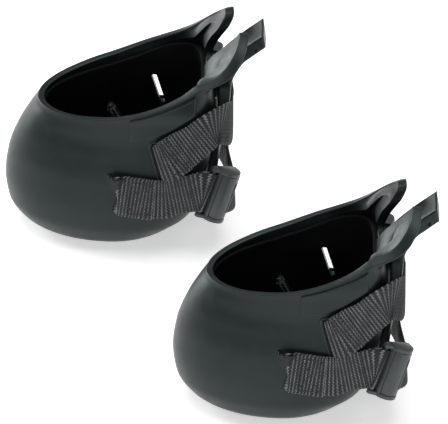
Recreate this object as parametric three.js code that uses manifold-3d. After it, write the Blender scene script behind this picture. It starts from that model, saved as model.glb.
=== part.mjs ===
// A pair of moulded rubber knee pads. Each pad is a deep cup that the knee stands in, closed at
// the front and below. Its back wall flares into two wings with a notch between them, and a
// thick rubber tongue stands behind the notch. Two webbing straps with cam buckles go round the
// leg. Units are millimetres, +Z is up. In a pad's own frame X runs from the bulging front (-X)
// to the back (+X), -Y is the near side, and the sole rests on Z = 0.

import * as THREE from "three";
import { mergeVertices } from "three/addons/utils/BufferGeometryUtils.js";
import Module from "manifold-3d";

const wasm = await Module();
wasm.setup();

// ---- driving dimensions ------------------------------------------------------------------

const PAD_SPACING = { x: 152, y: -286 }; // from the left pad to the right pad
const PAD_LENGTH_CENTRE = 25.5; // middle of one pad's length, in the pad's own frame

// Plan of the cup at several heights: front end, widest place, back end, half width, and how
// square the back corners are (2 is an ellipse).
const CUP = [
  { z: 0, front: -50, mid: 5, back: 46, half: 38, square: 2 },
  { z: 4, front: -66, mid: 6, back: 57, half: 49, square: 2 },
  { z: 14, front: -80, mid: 10, back: 70, half: 60, square: 2.1 },
  { z: 30, front: -89.5, mid: 15, back: 80, half: 68.5, square: 2.8 },
  { z: 51, front: -92, mid: 20, back: 86, half: 71, square: 3.5 },
  { z: 75, front: -89, mid: 25, back: 91, half: 69.5, square: 4 },
  { z: 100, front: -80, mid: 32, back: 96, half: 65, square: 4.3 },
  { z: 118, front: -70, mid: 38, back: 98, half: 62.5, square: 4.4 },
  { z: 135, front: -59, mid: 40, back: 98, half: 62.5, square: 4.5 },
  { z: 150, front: -55, mid: 40, back: 96, half: 64, square: 4.7 },
  { z: 165, front: -55, mid: 40, back: 95, half: 62, square: 6 },
  { z: 178, front: -55, mid: 40, back: 102.5, half: 61.5, square: 9 },
  { z: 190, front: -55, mid: 40, back: 114.5, half: 61, square: 11 },
  { z: 200, front: -55, mid: 40, back: 123, half: 58, square: 11 },
  { z: 208, front: -55, mid: 40, back: 128, half: 53, square: 11 },
];
// Height of the rim by the angle round the cup, 0 at the front and 180 at the back. The two
// wings of the soft rubber do not stand quite alike.
const RIM = [
  { angle: 0, near: 130, far: 130 },
  { angle: 20, near: 132, far: 132 },
  { angle: 40, near: 136.5, far: 136.5 },
  { angle: 60, near: 141, far: 141 },
  { angle: 80, near: 147.5, far: 147.5 },
  { angle: 100, near: 155.5, far: 155.5 },
  { angle: 115, near: 163, far: 163 },
  { angle: 126, near: 171.5, far: 171.5 },
  { angle: 139, near: 186, far: 186 },
  { angle: 147, near: 197, far: 195 },
  { angle: 153, near: 203.5, far: 200.5 },
  { angle: 160, near: 207.5, far: 204.5 },
  { angle: 180, near: 209, far: 206 },
];
// How much further forward the far wing stands than the plan above says.
const FAR_WING = [
  { z: 170, forward: 0 },
  { z: 178, forward: 2 },
  { z: 190, forward: 5 },
  { z: 200, forward: 9.5 },
  { z: 209, forward: 12.5 },
];
// How much further back the outer corner of the near wing turns out.
const NEAR_CORNER = [
  { z: 171, out: 0 },
  { z: 176, out: 7 },
  { z: 181, out: 10 },
  { z: 187, out: 8.5 },
  { z: 196, out: 4.5 },
  { z: 205, out: 1 },
  { z: 209, out: 0 },
];
// Thickness of the rubber wall, measured level; the flared wings lean, so they measure more.
const WALL = [
  { z: 0, t: 6 },
  { z: 150, t: 6 },
  { z: 185, t: 9.5 },
  { z: 210, t: 8 },
];
const SOLE_T = 8;
const LIP = 2; // rounding of the rim

const LINER_GAP = 0.9; // between the rubber wall and the sponge lining
const LINER_T = 4;
const LINER_DROP = 2.5; // the lining stops this far below the rim
const LINER_TOP = 160; // and it stays below the wings
const LINER_FLOOR = 4;

const NOTCH = { bottomZ: 157, bottomHalf: 19, midZ: 171, midHalf: 24.5, topZ: 215, topHalf: 17.5 };

const SLOT_W = 4.4;
const STRAP_W = 40;
const SLOT_PLAY = 2.5; // the webbing gathers to pass a slot with this much room
const STRAP_T = 1.8;
const FOLD_T = 3.4; // two layers sewn together
const STRAP_GAP = 1.8; // between the cup and the middle of a strap's inner face
const UPPER_STRAP_GAP = 3; // more where the wall turns outwards
const KEEPER_R = 2.5; // bar inside the cup that stops a strap's loop from pulling through
const KEEPER_EXTRA = 5; // length of the bar beyond the slot
const EYE_T = 8.6; // webbing folded round a keeper bar
const BAR_EYE_T = 7.4; // webbing folded round the bar of a buckle
const BAR_GAP = 0.3;

const LOWER_SLOT = { x: 9.5, z: 69, lean: 18, length: 42 }; // lean: X gained going down
const UPPER_SLOT = { x: 46, z: 100, lean: 9, length: 36 };

const BAND = { from: 21, to: 80, t: 2, gap: 0.8 };

const PANEL_HALF = 30;
const TONGUE_HALF = 16;
const HINGE_Z = 152; // where the thick tongue bends away from the lower panel
// Side view of the panel and tongue: height, inner face and outer face.
const PANEL = [
  { z: 36, inner: 86, outer: 93 },
  { z: 60, inner: 91, outer: 99.5 },
  { z: 80, inner: 94.5, outer: 102.5 },
  { z: 100, inner: 98.8, outer: 105 },
  { z: 118, inner: 100.8, outer: 108.5 },
  { z: 135, inner: 101, outer: 111.5 },
  { z: HINGE_Z - 0.4, inner: 99.5, outer: 113 },
];
const TONGUE = [
  { inner: [99.5, HINGE_Z], outer: [113, HINGE_Z] },
  { inner: [99.5, 160], outer: [116.5, 161] },
  { inner: [103, 169], outer: [123, 172] },
  { inner: [120, 186], outer: [132, 180] },
  { inner: [141, 203], outer: [143, 189] },
];

const BUCKLE = { length: 50, depth: 22, height: 17, cheek: 3.7, floor: 2.2 };
const BUCKLE_BAR = { x: -14.5, z: 4.6, r: 2 };
const PIN = { x: -4.5, z: 9.5, r: 1.6 };
const NOSE_R = 4.3; // round front of the lever, about its pin
const LEVER_LOW = 5.7; // flat underside of the lever
const FIT = 0.3; // clearance between moving pieces
const STRAP_IN_BUCKLE_Z = 3.5;

// Where each buckle sits on the pad: its middle, the way its strap leaves, its lean.
const LOWER_BUCKLE = { at: [99, -55, 63], turn: 30, lean: 22, side: -1 };
const UPPER_BUCKLE = { at: [94, 54.5, 118], turn: 26, lean: -8, side: 1 };

const RIVET = { r: 2, head: 4.5, dome: 1.8, washer: 5, washerT: 1 };
const RIVETS = [
  { name: "front", x: 57, z: 123, washer: 6.4 },
  { name: "rear", x: 68, z: 127, washer: 11 },
]; // washer: how far it stands off the wall, past the strap
const RIVET_END = 1.4; // past the washer's inner face
const HEEL_RIVET_Y = 18;
const HEEL_RIVET_Z = 46;

const ROUND_STEPS = 12; // flats in the round pieces
const AROUND = 36; // columns round the cup

const MATERIALS = {
  rubber: { color: 0x232a2a, roughness: 0.45, metalness: 0 },
  sponge: { color: 0x141616, roughness: 0.9, metalness: 0 },
  webbing: { color: 0x1d2022, roughness: 0.85, metalness: 0 },
  plastic: { color: 0x464e4e, roughness: 0.4, metalness: 0 },
  steel: { color: 0xa8abad, roughness: 0.3, metalness: 1 },
};

// ---- curves and surfaces -----------------------------------------------------------------

// Value of one column of a table at a place between its rows, on a smooth curve that never
// overshoots the rows.
function along(table, key, column, at) {
  const last = table.length - 1;
  const place = THREE.MathUtils.clamp(at, table[0][key], table[last][key]);
  let i = 0;
  while (i < last - 1 && place > table[i + 1][key]) i++;
  const slope = (k) => {
    if (k < 0 || k >= last) return 0;
    return (table[k + 1][column] - table[k][column]) / (table[k + 1][key] - table[k][key]);
  };
  const tangent = (k) => {
    const before = slope(k - 1);
    const after = slope(k);
    if (k === 0) return after;
    if (k === last) return before;
    return before * after <= 0 ? 0 : (2 * before * after) / (before + after);
  };
  const span = table[i + 1][key] - table[i][key];
  const t = (place - table[i][key]) / span;
  const rise = table[i + 1][column] - table[i][column];
  const ease = t * t * (3 - 2 * t);
  const bend = t * (1 - t) * (1 - t) * tangent(i) - t * t * (1 - t) * tangent(i + 1);
  return table[i][column] + rise * ease + span * bend;
}

const cupAt = (column, z) => along(CUP, "z", column, z);
const rimAt = (angle) => along(RIM, "angle", angle < 0 ? "near" : "far", Math.abs(angle));

// Point on the cup's outside at an angle round it (degrees, negative on the near side), moved
// inwards by inset.
function cupPoint(angle, z, inset = 0, height = z) {
  const turn = THREE.MathUtils.degToRad(angle);
  const mid = cupAt("mid", z);
  const front = Math.abs(angle) < 90;
  const forward = angle > 0 ? along(FAR_WING, "z", "forward", z) : 0;
  const back = cupAt("back", z) - forward;
  const reach = (front ? mid - cupAt("front", z) : back - mid) - inset;
  const half = cupAt("half", z) - inset;
  const power = front ? 2 : cupAt("square", z);
  const c = Math.abs(Math.cos(turn)) / reach;
  const s = Math.abs(Math.sin(turn)) / half;
  const radius = (c ** power + s ** power) ** (-1 / power);
  const y = radius * Math.sin(turn);
  const corner = angle < -90 ? along(NEAR_CORNER, "z", "out", z) * (Math.abs(y) / half) ** 3 : 0;
  return new THREE.Vector3(mid - radius * Math.cos(turn) + corner, y, height);
}

// Distance from the middle plane to the cup's outside, at a length and a height.
function cupHalf(x, z) {
  const mid = cupAt("mid", z);
  const front = x < mid;
  const reach = front ? mid - cupAt("front", z) : cupAt("back", z) - mid;
  const power = front ? 2 : cupAt("square", z);
  const part = Math.min(Math.abs(x - mid) / reach, 1);
  return cupAt("half", z) * (1 - part ** power) ** (1 / power);
}

const wallAt = (z) => along(WALL, "z", "t", z);

// ---- solids ------------------------------------------------------------------------------

function geometryOf(points, triangles) {
  const geometry = new THREE.BufferGeometry();
  const flat = points.flatMap((p) => [p.x, p.y, p.z]);
  geometry.setAttribute("position", new THREE.Float32BufferAttribute(flat, 3));
  geometry.setIndex(triangles.flat());
  return geometry;
}

function volumeOf(points, triangles) {
  let sum = 0;
  for (const [a, b, c] of triangles) {
    const cross = new THREE.Vector3().crossVectors(points[b], points[c]);
    sum += points[a].dot(cross);
  }
  return sum;
}

function facingOut(points, triangles) {
  const flipped = volumeOf(points, triangles) < 0;
  const right = flipped ? triangles.map(([a, b, c]) => [a, c, b]) : triangles;
  return geometryOf(points, right);
}

// A solid from closed loops of points, one above the other, its two ends closed to a middle.
// Each four-sided face is split the same way whether the loops rise or fall, so that two
// surfaces that follow each other stay parallel.
function loft(loops) {
  const count = loops[0].length;
  const points = loops.flat();
  const triangles = [];
  for (let row = 0; row + 1 < loops.length; row++) {
    for (let i = 0; i < count; i++) {
      const a = row * count + i;
      const b = row * count + ((i + 1) % count);
      const falling = loops[row + 1][i].z < loops[row][i].z;
      if (falling) triangles.push([a, b, b + count], [a, b + count, a + count]);
      else triangles.push([a, b, a + count], [b, b + count, a + count]);
    }
  }
  for (const [row, turn] of [[0, 1], [loops.length - 1, -1]]) {
    const middle = new THREE.Vector3();
    loops[row].forEach((p) => middle.addScaledVector(p, 1 / count));
    points.push(middle);
    for (let i = 0; i < count; i++) {
      const a = row * count + i;
      const b = row * count + ((i + 1) % count);
      const centre = points.length - 1;
      triangles.push(turn > 0 ? [b, a, centre] : [a, b, centre]);
    }
  }
  return facingOut(points, triangles);
}

// A closed sheet between two matching grids of points.
function sheet(front, back) {
  const loops = front.map((row, i) => [...row, ...[...back[i]].reverse()]);
  return loft(loops);
}

function solidOf(geometry) {
  const bare = geometry.clone();
  bare.deleteAttribute("normal");
  bare.deleteAttribute("uv");
  const merged = mergeVertices(bare, 1e-4);
  const mesh = new wasm.Mesh({
    numProp: 3,
    vertProperties: merged.attributes.position.array,
    triVerts: new Uint32Array(merged.index.array),
  });
  return new wasm.Manifold(mesh);
}

function geometryFrom(solid) {
  const mesh = solid.getMesh();
  const geometry = new THREE.BufferGeometry();
  geometry.setAttribute("position", new THREE.BufferAttribute(mesh.vertProperties, 3));
  geometry.setIndex(new THREE.BufferAttribute(mesh.triVerts, 1));
  return geometry;
}

function cut(geometry, cutters) {
  let solid = solidOf(geometry);
  for (const cutter of cutters) solid = solid.subtract(solidOf(cutter));
  return geometryFrom(solid);
}

function join(geometries) {
  return geometryFrom(geometries.map(solidOf).reduce((all, one) => all.add(one)));
}

function moved(geometry, position, along, across) {
  const x = along.clone().normalize();
  const z = new THREE.Vector3().crossVectors(x, across).normalize();
  const y = new THREE.Vector3().crossVectors(z, x);
  const place = new THREE.Matrix4().makeBasis(x, y, z).setPosition(position);
  return geometry.applyMatrix4(place);
}

// A cylinder between two points.
function rod(from, to, radius, steps = ROUND_STEPS) {
  const line = new THREE.Vector3().subVectors(to, from);
  const geometry = new THREE.CylinderGeometry(radius, radius, line.length(), steps);
  const turn = new THREE.Quaternion().setFromUnitVectors(
    new THREE.Vector3(0, 1, 0),
    line.clone().normalize(),
  );
  const middle = from.clone().addScaledVector(line, 0.5);
  return geometry.applyQuaternion(turn).translate(middle.x, middle.y, middle.z);
}

function extrudedAcross(shape, from, to) {
  const options = { depth: to - from, bevelEnabled: false, curveSegments: 4 };
  const geometry = new THREE.ExtrudeGeometry(shape, options);
  // The shape is drawn in X and Z and pushed along Y.
  return geometry.rotateX(Math.PI / 2).translate(0, to, 0);
}

// ---- webbing -----------------------------------------------------------------------------

// One place along a strap: its middle, the way its width lies, its width and its thickness.
function station(x, y, z, lean = 0, width = STRAP_W, thickness = STRAP_T) {
  return { at: new THREE.Vector3(x, y, z), up: new THREE.Vector3(0, lean, 1), width, thickness };
}

// A place on the cup's side wall, clear of it by gap; side is -1 near and +1 far.
function onWall(side, x, z, width = STRAP_W, thickness = STRAP_T, gap = STRAP_GAP) {
  const reach = cupHalf(x, z) + gap + thickness / 2;
  const lean = (cupHalf(x, z + 10) - cupHalf(x, z - 10)) / 20;
  return station(x, side * reach, z, side * lean, width, thickness);
}

function ribbon(stations) {
  const front = [];
  const back = [];
  stations.forEach((here, i) => {
    const before = stations[Math.max(i - 1, 0)].at;
    const after = stations[Math.min(i + 1, stations.length - 1)].at;
    const run = new THREE.Vector3().subVectors(after, before).normalize();
    const up = here.up.clone().addScaledVector(run, -here.up.dot(run)).normalize();
    const out = new THREE.Vector3().crossVectors(run, up).normalize();
    const corner = (across, through) =>
      here.at
        .clone()
        .addScaledVector(up, (across * here.width) / 2)
        .addScaledVector(out, (through * here.thickness) / 2);
    front.push([corner(-1, 1), corner(1, 1)]);
    back.push([corner(-1, -1), corner(1, -1)]);
  });
  return sheet(front, back);
}

// Frame of a slot in the side wall: its middle, the way it runs and the way through the wall.
function slotFrame(slot, side) {
  const end = (k) => {
    const z = slot.z - (k * slot.length) / 2;
    const x = slot.x + (k * slot.lean) / 2;
    return new THREE.Vector3(x, side * cupHalf(x, z), z);
  };
  const middle = end(0);
  const run = new THREE.Vector3().subVectors(end(-1), end(1)).normalize();
  const step = new THREE.Vector3(1, 0, 0);
  step.y = side * (cupHalf(slot.x + 1, slot.z) - cupHalf(slot.x, slot.z));
  const through = new THREE.Vector3().crossVectors(step, run).normalize();
  if (through.y * side > 0) through.negate();
  return { middle, run, through };
}

function slotCutter(slot, side, grow = 0) {
  const { middle, run, through } = slotFrame(slot, side);
  const width = SLOT_W + grow;
  const length = slot.length + grow;
  const shape = new THREE.Shape();
  const reach = (length - width) / 2;
  shape.moveTo(-reach, -width / 2);
  shape.lineTo(reach, -width / 2);
  shape.absarc(reach, 0, width / 2, -Math.PI / 2, Math.PI / 2);
  shape.lineTo(-reach, width / 2);
  shape.absarc(-reach, 0, width / 2, Math.PI / 2, Math.PI * 1.5);
  const depth = 60;
  const options = { depth, bevelEnabled: false, curveSegments: 3 };
  const geometry = new THREE.ExtrudeGeometry(shape, options).translate(0, 0, -depth / 2);
  const across = new THREE.Vector3().crossVectors(through, run);
  return moved(geometry, middle, run, across);
}

// Stations that lead a strap from a keeper bar inside the cup out through a slot.
function throughSlot(slot, side) {
  const { middle, run, through } = slotFrame(slot, side);
  const depths = [KEEPER_DEPTH + 4.2, KEEPER_DEPTH - 3, KEEPER_DEPTH - 5.5, -0.4, -4];
  return depths.map((depth, i) => ({
    at: middle.clone().addScaledVector(through, depth),
    up: run.clone(),
    width: slot.length - SLOT_PLAY,
    thickness: i < 2 ? EYE_T : FOLD_T,
  }));
}

const KEEPER_DEPTH = WALL[0].t + LINER_T + LINER_GAP + 6;

function keeperEnds(slot, side, length) {
  const { middle, run, through } = slotFrame(slot, side);
  const centre = middle.clone().addScaledVector(through, KEEPER_DEPTH);
  return [-0.5, 0.5].map((k) => centre.clone().addScaledVector(run, k * length));
}

function keeperBar(slot, side) {
  const [from, to] = keeperEnds(slot, side, slot.length + KEEPER_EXTRA);
  return rod(from, to, KEEPER_R);
}

function keeperBore(slot, side) {
  const [from, to] = keeperEnds(slot, side, slot.length + KEEPER_EXTRA + 10);
  return rod(from, to, KEEPER_R + BAR_GAP);
}

// ---- buckles -----------------------------------------------------------------------------

// Frame of a buckle on the pad: X along the strap towards the back, Y across, Z away from the
// leg.
function buckleFrame(buckle) {
  const turn = THREE.MathUtils.degToRad(buckle.turn);
  const lean = THREE.MathUtils.degToRad(buckle.lean);
  const flat = new THREE.Vector3(Math.cos(turn), -buckle.side * Math.sin(turn), 0);
  const x = flat.clone().multiplyScalar(Math.cos(lean));
  x.z = -Math.sin(lean);
  const z = new THREE.Vector3(Math.sin(turn), buckle.side * Math.cos(turn), 0);
  const y = new THREE.Vector3().crossVectors(z, x);
  return new THREE.Matrix4().makeBasis(x, y, z).setPosition(...buckle.at);
}

function buckleBody(half) {
  const shape = new THREE.Shape();
  shape.moveTo(-half, 0);
  shape.lineTo(half, 0);
  shape.lineTo(half, BUCKLE.height - BUCKLE.depth / 2);
  shape.absellipse(0, BUCKLE.height - BUCKLE.depth / 2, half, BUCKLE.depth / 2, 0, Math.PI);
  shape.closePath();
  return shape;
}

const acrossRod = (x, z, reach, radius) =>
  rod(new THREE.Vector3(x, -reach, z), new THREE.Vector3(x, reach, z), radius);

function buckleFrameGeometry() {
  const half = BUCKLE.length / 2;
  const inner = half - BUCKLE.cheek;
  const arm = new THREE.Shape();
  arm.moveTo(BUCKLE_BAR.x - 3.2, 1.4);
  arm.lineTo(-8, 0);
  arm.lineTo(-8, 9);
  arm.lineTo(BUCKLE_BAR.x - 3.2, 7.8);
  const cheeks = [-1, 1].flatMap((end) => {
    const [from, to] = end < 0 ? [-half, -inner] : [inner, half];
    return [
      extrudedAcross(buckleBody(BUCKLE.depth / 2), from, to),
      extrudedAcross(arm, from, to),
    ];
  });
  const floor = new THREE.BoxGeometry(BUCKLE.depth, 2 * inner + 2, BUCKLE.floor);
  floor.translate(0, 0, BUCKLE.floor / 2);
  const rail = new THREE.BoxGeometry(1.2, 2 * inner + 2, 5);
  rail.translate(-BUCKLE.depth / 2 + 0.6, 0, 8);
  const bar = acrossRod(BUCKLE_BAR.x, BUCKLE_BAR.z, inner + 1, BUCKLE_BAR.r);
  const bore = acrossRod(PIN.x, PIN.z, half + 1, PIN.r + FIT);
  return cut(join([...cheeks, floor, rail, bar]), [bore]);
}

function leverGeometry() {
  const inner = BUCKLE.length / 2 - BUCKLE.cheek - FIT;
  const top = BUCKLE.height - BUCKLE.depth / 2;
  const shape = new THREE.Shape();
  shape.moveTo(PIN.x, PIN.z - NOSE_R);
  shape.lineTo(PIN.x + 5, LEVER_LOW);
  shape.lineTo(BUCKLE.depth / 2 - 0.2, LEVER_LOW);
  shape.absellipse(0, top, BUCKLE.depth / 2 - 0.2, BUCKLE.depth / 2 - 0.2, 0, Math.PI * 0.62);
  shape.absarc(PIN.x, PIN.z, NOSE_R, Math.PI * 0.72, Math.PI * 1.5);
  const body = extrudedAcross(shape, -inner, inner);
  const grips = [0, 1, 2, 3].map((i) => {
    const turn = THREE.MathUtils.degToRad(8 + i * 13);
    const reach = BUCKLE.depth / 2 - 0.1;
    return acrossRod(reach * Math.cos(turn), top + reach * Math.sin(turn), inner - 6, 0.6);
  });
  const bore = acrossRod(PIN.x, PIN.z, inner + 1, PIN.r + FIT);
  return cut(join([body, ...grips]), [bore]);
}

function buckleMeshes(prefix, buckle) {
  const group = new THREE.Group();
  group.applyMatrix4(buckleFrame(buckle));
  const reach = BUCKLE.length / 2 - 0.5;
  const pin = acrossRod(PIN.x, PIN.z, reach, PIN.r);
  group.add(
    part(prefix + "_buckle_frame", buckleFrameGeometry(), "plastic"),
    part(prefix + "_buckle_lever", leverGeometry(), "plastic"),
    part(prefix + "_buckle_pin", pin, "steel"),
  );
  return group;
}

// A place on the pad given in a buckle's own frame, as a strap station.
function inBuckle(buckle, x, z, thickness = STRAP_T, width = STRAP_W) {
  const frame = buckleFrame(buckle);
  const up = new THREE.Vector3(0, 1, 0).transformDirection(frame);
  if (up.z < 0) up.negate();
  return { at: new THREE.Vector3(x, 0, z).applyMatrix4(frame), up, width, thickness };
}

function buckleBarBore(buckle) {
  const reach = BUCKLE.length / 2;
  const bore = acrossRod(BUCKLE_BAR.x, BUCKLE_BAR.z, reach, BUCKLE_BAR.r + BAR_GAP);
  return bore.applyMatrix4(buckleFrame(buckle));
}

// ---- the moulded pieces ------------------------------------------------------------------

const ANGLES = Array.from({ length: AROUND }, (_, i) => (i * 360) / AROUND - 180);
const SHARES = [0, 0.03, 0.1, 0.21, 0.37, 0.55, 0.7, 0.8, 0.87, 0.94];

// Closed loop round the cup. The height follows the rim: share is 0 at the sole, 1 at the rim.
function cupLoop(share, { inset, drop, floor, top = Infinity }) {
  return ANGLES.map((angle) => {
    const rim = rimAt(angle);
    const z = Math.min(share * rim, rim - drop, top - drop);
    const height = floor + (z * (rim - floor)) / rim;
    return cupPoint(angle, z, inset(height), height);
  });
}

function cupSolid(outer, inner) {
  const rounded = (face) => ({ ...face, drop: face.drop + LIP });
  const moved = (face, by) => ({ ...face, inset: (z) => face.inset(z) + by });
  return loft([
    ...SHARES.map((share) => cupLoop(share, rounded(outer))),
    cupLoop(1, rounded(outer)),
    cupLoop(1, moved(outer, LIP / 2)),
    cupLoop(1, moved(inner, -LIP / 2)),
    cupLoop(1, rounded(inner)),
    ...[...SHARES].reverse().map((share) => cupLoop(share, rounded(inner))),
  ]);
}

// The U between the wings, cut straight through the back wall.
function notchCutter(grow = 0) {
  const shape = new THREE.Shape();
  shape.moveTo(NOTCH.topHalf + grow, NOTCH.topZ);
  shape.lineTo(NOTCH.midHalf + grow, NOTCH.midZ);
  shape.quadraticCurveTo(
    NOTCH.midHalf + grow,
    NOTCH.bottomZ - grow,
    NOTCH.bottomHalf - 9,
    NOTCH.bottomZ - grow,
  );
  shape.lineTo(9 - NOTCH.bottomHalf, NOTCH.bottomZ - grow);
  shape.quadraticCurveTo(
    -NOTCH.midHalf - grow,
    NOTCH.bottomZ - grow,
    -NOTCH.midHalf - grow,
    NOTCH.midZ,
  );
  shape.lineTo(-NOTCH.topHalf - grow, NOTCH.topZ);
  const options = { depth: 120, bevelEnabled: false, curveSegments: 4 };
  const geometry = new THREE.ExtrudeGeometry(shape, options);
  // The shape is drawn in Y and Z and pushed along X.
  return geometry.rotateX(Math.PI / 2).rotateZ(Math.PI / 2).translate(45, 0, 0);
}

function rivetAxis({ x, z }) {
  const lengthwise = (cupHalf(x + 3, z) - cupHalf(x - 3, z)) / 6;
  const rising = (cupHalf(x, z + 5) - cupHalf(x, z - 5)) / 10;
  const out = new THREE.Vector3(-lengthwise, 1, -rising).normalize();
  return { at: new THREE.Vector3(x, cupHalf(x, z), z), out };
}

function rivetHole(place, radius, reach = 30) {
  const { at, out } = rivetAxis(place);
  const from = at.clone().addScaledVector(out, -reach);
  const to = at.clone().addScaledVector(out, reach);
  return rod(from, to, radius);
}

function heelAxis(side) {
  const x = cupAt("back", HEEL_RIVET_Z);
  const at = new THREE.Vector3(x, side * HEEL_RIVET_Y, HEEL_RIVET_Z);
  return { at, out: new THREE.Vector3(1, 0, 0) };
}

function heelHole(side, radius, reach = 30) {
  const { at, out } = heelAxis(side);
  const from = at.clone().addScaledVector(out, -reach);
  const to = at.clone().addScaledVector(out, reach);
  return rod(from, to, radius);
}

// Every hole through the cup: slots, rivet holes and the notch.
function cupHoles(grow) {
  const slots = [
    [LOWER_SLOT, -1],
    [UPPER_SLOT, -1],
    [LOWER_SLOT, 1],
    [UPPER_SLOT, 1],
  ].map(([slot, side]) => slotCutter(slot, side, grow));
  const rivets = RIVETS.map((place) => rivetHole(place, RIVET.r + FIT + grow / 2));
  const heels = [-1, 1].map((side) => heelHole(side, RIVET.r + FIT + grow / 2, 14));
  return [...slots, ...rivets, ...heels, notchCutter(grow / 6)];
}

function shell() {
  const outer = { inset: () => 0, drop: 0, floor: 0 };
  const inner = { inset: wallAt, drop: 0, floor: SOLE_T };
  return cut(cupSolid(outer, inner), cupHoles(0));
}

// The sponge lining; its holes are wider, to clear the straps' loops and the rivet heads.
function liner() {
  const start = (z) => wallAt(z) + LINER_GAP;
  const edge = { drop: LINER_DROP, top: LINER_TOP };
  const outer = { inset: start, floor: SOLE_T + LINER_GAP, ...edge };
  const inner = {
    inset: (z) => start(z) + LINER_T,
    floor: SOLE_T + LINER_GAP + LINER_FLOOR,
    ...edge,
  };
  return cut(cupSolid(outer, inner), cupHoles(6.5));
}

// The soft block that the knee rests on: it follows the bowl below and is crowned above.
function kneeCushion() {
  const floor = SOLE_T + LINER_GAP + LINER_FLOOR + 1;
  const clear = WALL[0].t + LINER_GAP + LINER_T + 6;
  const layers = [
    { plan: 1, inset: clear, z: floor },
    { plan: 6, inset: clear, z: floor + 6 },
    { plan: 14, inset: clear, z: floor + 14 },
    { plan: 14, inset: clear + 4, z: floor + 18 },
    { plan: 14, inset: clear + 18, z: floor + 22 },
  ];
  return loft(layers.map((at) => ANGLES.map((a) => cupPoint(a, at.plan, at.inset, at.z))));
}

// A raised reinforcing band below the rim, on one side wall.
function band(side) {
  const edge = [
    { x: 21, z: 120 },
    { x: 46, z: 126 },
    { x: 61, z: 134 },
    { x: 75, z: 144 },
    { x: 87, z: 153 },
  ];
  const steps = 12;
  const across = 3;
  const front = [];
  const back = [];
  for (let i = 0; i <= steps; i++) {
    const x = THREE.MathUtils.lerp(BAND.from, BAND.to, i / steps);
    const low = along(edge, "x", "z", x);
    const angle = Math.atan2(cupHalf(x, 150), cupAt("mid", 150) - x);
    const high = rimAt(side * THREE.MathUtils.radToDeg(angle)) - 3.5;
    const rows = Array.from({ length: across + 1 }, (_, k) => {
      return THREE.MathUtils.lerp(low, high, k / across);
    });
    const at = (z, gap) => new THREE.Vector3(x, side * (cupHalf(x, z) + gap), z);
    front.push(rows.map((z) => at(z, BAND.gap + BAND.t)));
    back.push(rows.map((z) => at(z, BAND.gap)));
  }
  return sheet(front, back);
}

function panelRow(half, x, z, bow) {
  const share = [-1, -0.5, 0, 0.5, 1];
  return share.map((s) => new THREE.Vector3(x - bow * s * s, s * half, z));
}

// The lower part of the back panel, behind the cup's back wall and under the straps.
function backPanel() {
  const bow = 2.5;
  const steps = 9;
  const low = PANEL[0].z;
  const high = PANEL[PANEL.length - 1].z;
  const rows = Array.from({ length: steps + 1 }, (_, i) => low + ((high - low) * i) / steps);
  const half = (z) => {
    const narrowing = THREE.MathUtils.smoothstep(z, 128, high);
    return THREE.MathUtils.lerp(PANEL_HALF, TONGUE_HALF, narrowing);
  };
  const rowAt = (side) => (z) => panelRow(half(z), along(PANEL, "z", side, z), z, bow);
  const solid = sheet(rows.map(rowAt("outer")), rows.map(rowAt("inner")));
  return cut(solid, [-1, 1].map((side) => heelHole(side, RIVET.r + FIT)));
}

// The thick free end of the back panel, which stands out behind the notch.
function backTongue() {
  const face = (name) => {
    const points = TONGUE.map((row) => new THREE.Vector3(row[name][0], 0, row[name][1]));
    const curve = new THREE.CatmullRomCurve3(points, false, "centripetal");
    return curve.getPoints(10).map((p) => panelRow(TONGUE_HALF, p.x, p.z, 0.6));
  };
  return sheet(face("outer"), face("inner"));
}

// ---- straps ------------------------------------------------------------------------------

function strapRun(side, places, gap = STRAP_GAP) {
  return places.map(([x, z, t]) => onWall(side, x, z, STRAP_W, t, gap));
}

// The end of a strap, folded round the front bar of a buckle.
function barEye(buckle) {
  return [
    [-11, FOLD_T],
    [-5, FOLD_T],
    [-3.4, BAR_EYE_T],
    [3.2, BAR_EYE_T],
  ].map(([x, t]) => inBuckle(buckle, BUCKLE_BAR.x + x, BUCKLE_BAR.z, t, STRAP_W - 2));
}

function lowerAnchorStrap() {
  const fold = FOLD_T;
  const run = strapRun(-1, [
    [20, 67.5, fold],
    [28, 66, fold],
    [36, 64.5, fold],
    [41, 64, STRAP_T],
    [54, 62.5, STRAP_T],
    [60, 62, STRAP_T],
  ]);
  const strap = ribbon([...throughSlot(LOWER_SLOT, -1), ...run, ...barEye(LOWER_BUCKLE)]);
  return cut(strap, [keeperBore(LOWER_SLOT, -1), buckleBarBore(LOWER_BUCKLE)]);
}

function lowerStrap() {
  const inside = [-9, 0, 11, 16].map((x) => inBuckle(LOWER_BUCKLE, x, STRAP_IN_BUCKLE_Z));
  const round = [
    station(115, -36, 53.5),
    station(113, -22, 51.5),
    station(110, 0, 52),
    station(108, 20, 54),
    station(103, 36, 57),
    station(96, 48, 60, -0.05),
    station(86, 58, 62, -0.1),
  ];
  const places = [
    [70, 63, STRAP_T],
    [58, 63, STRAP_T],
    [46, 63.5, STRAP_T],
    [38, 64.5, FOLD_T],
    [28, 66, FOLD_T],
    [20, 67.5, FOLD_T],
  ];
  const end = throughSlot(LOWER_SLOT, 1).reverse();
  const strap = ribbon([...inside, ...round, ...strapRun(1, places), ...end]);
  return cut(strap, [keeperBore(LOWER_SLOT, 1)]);
}

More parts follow.
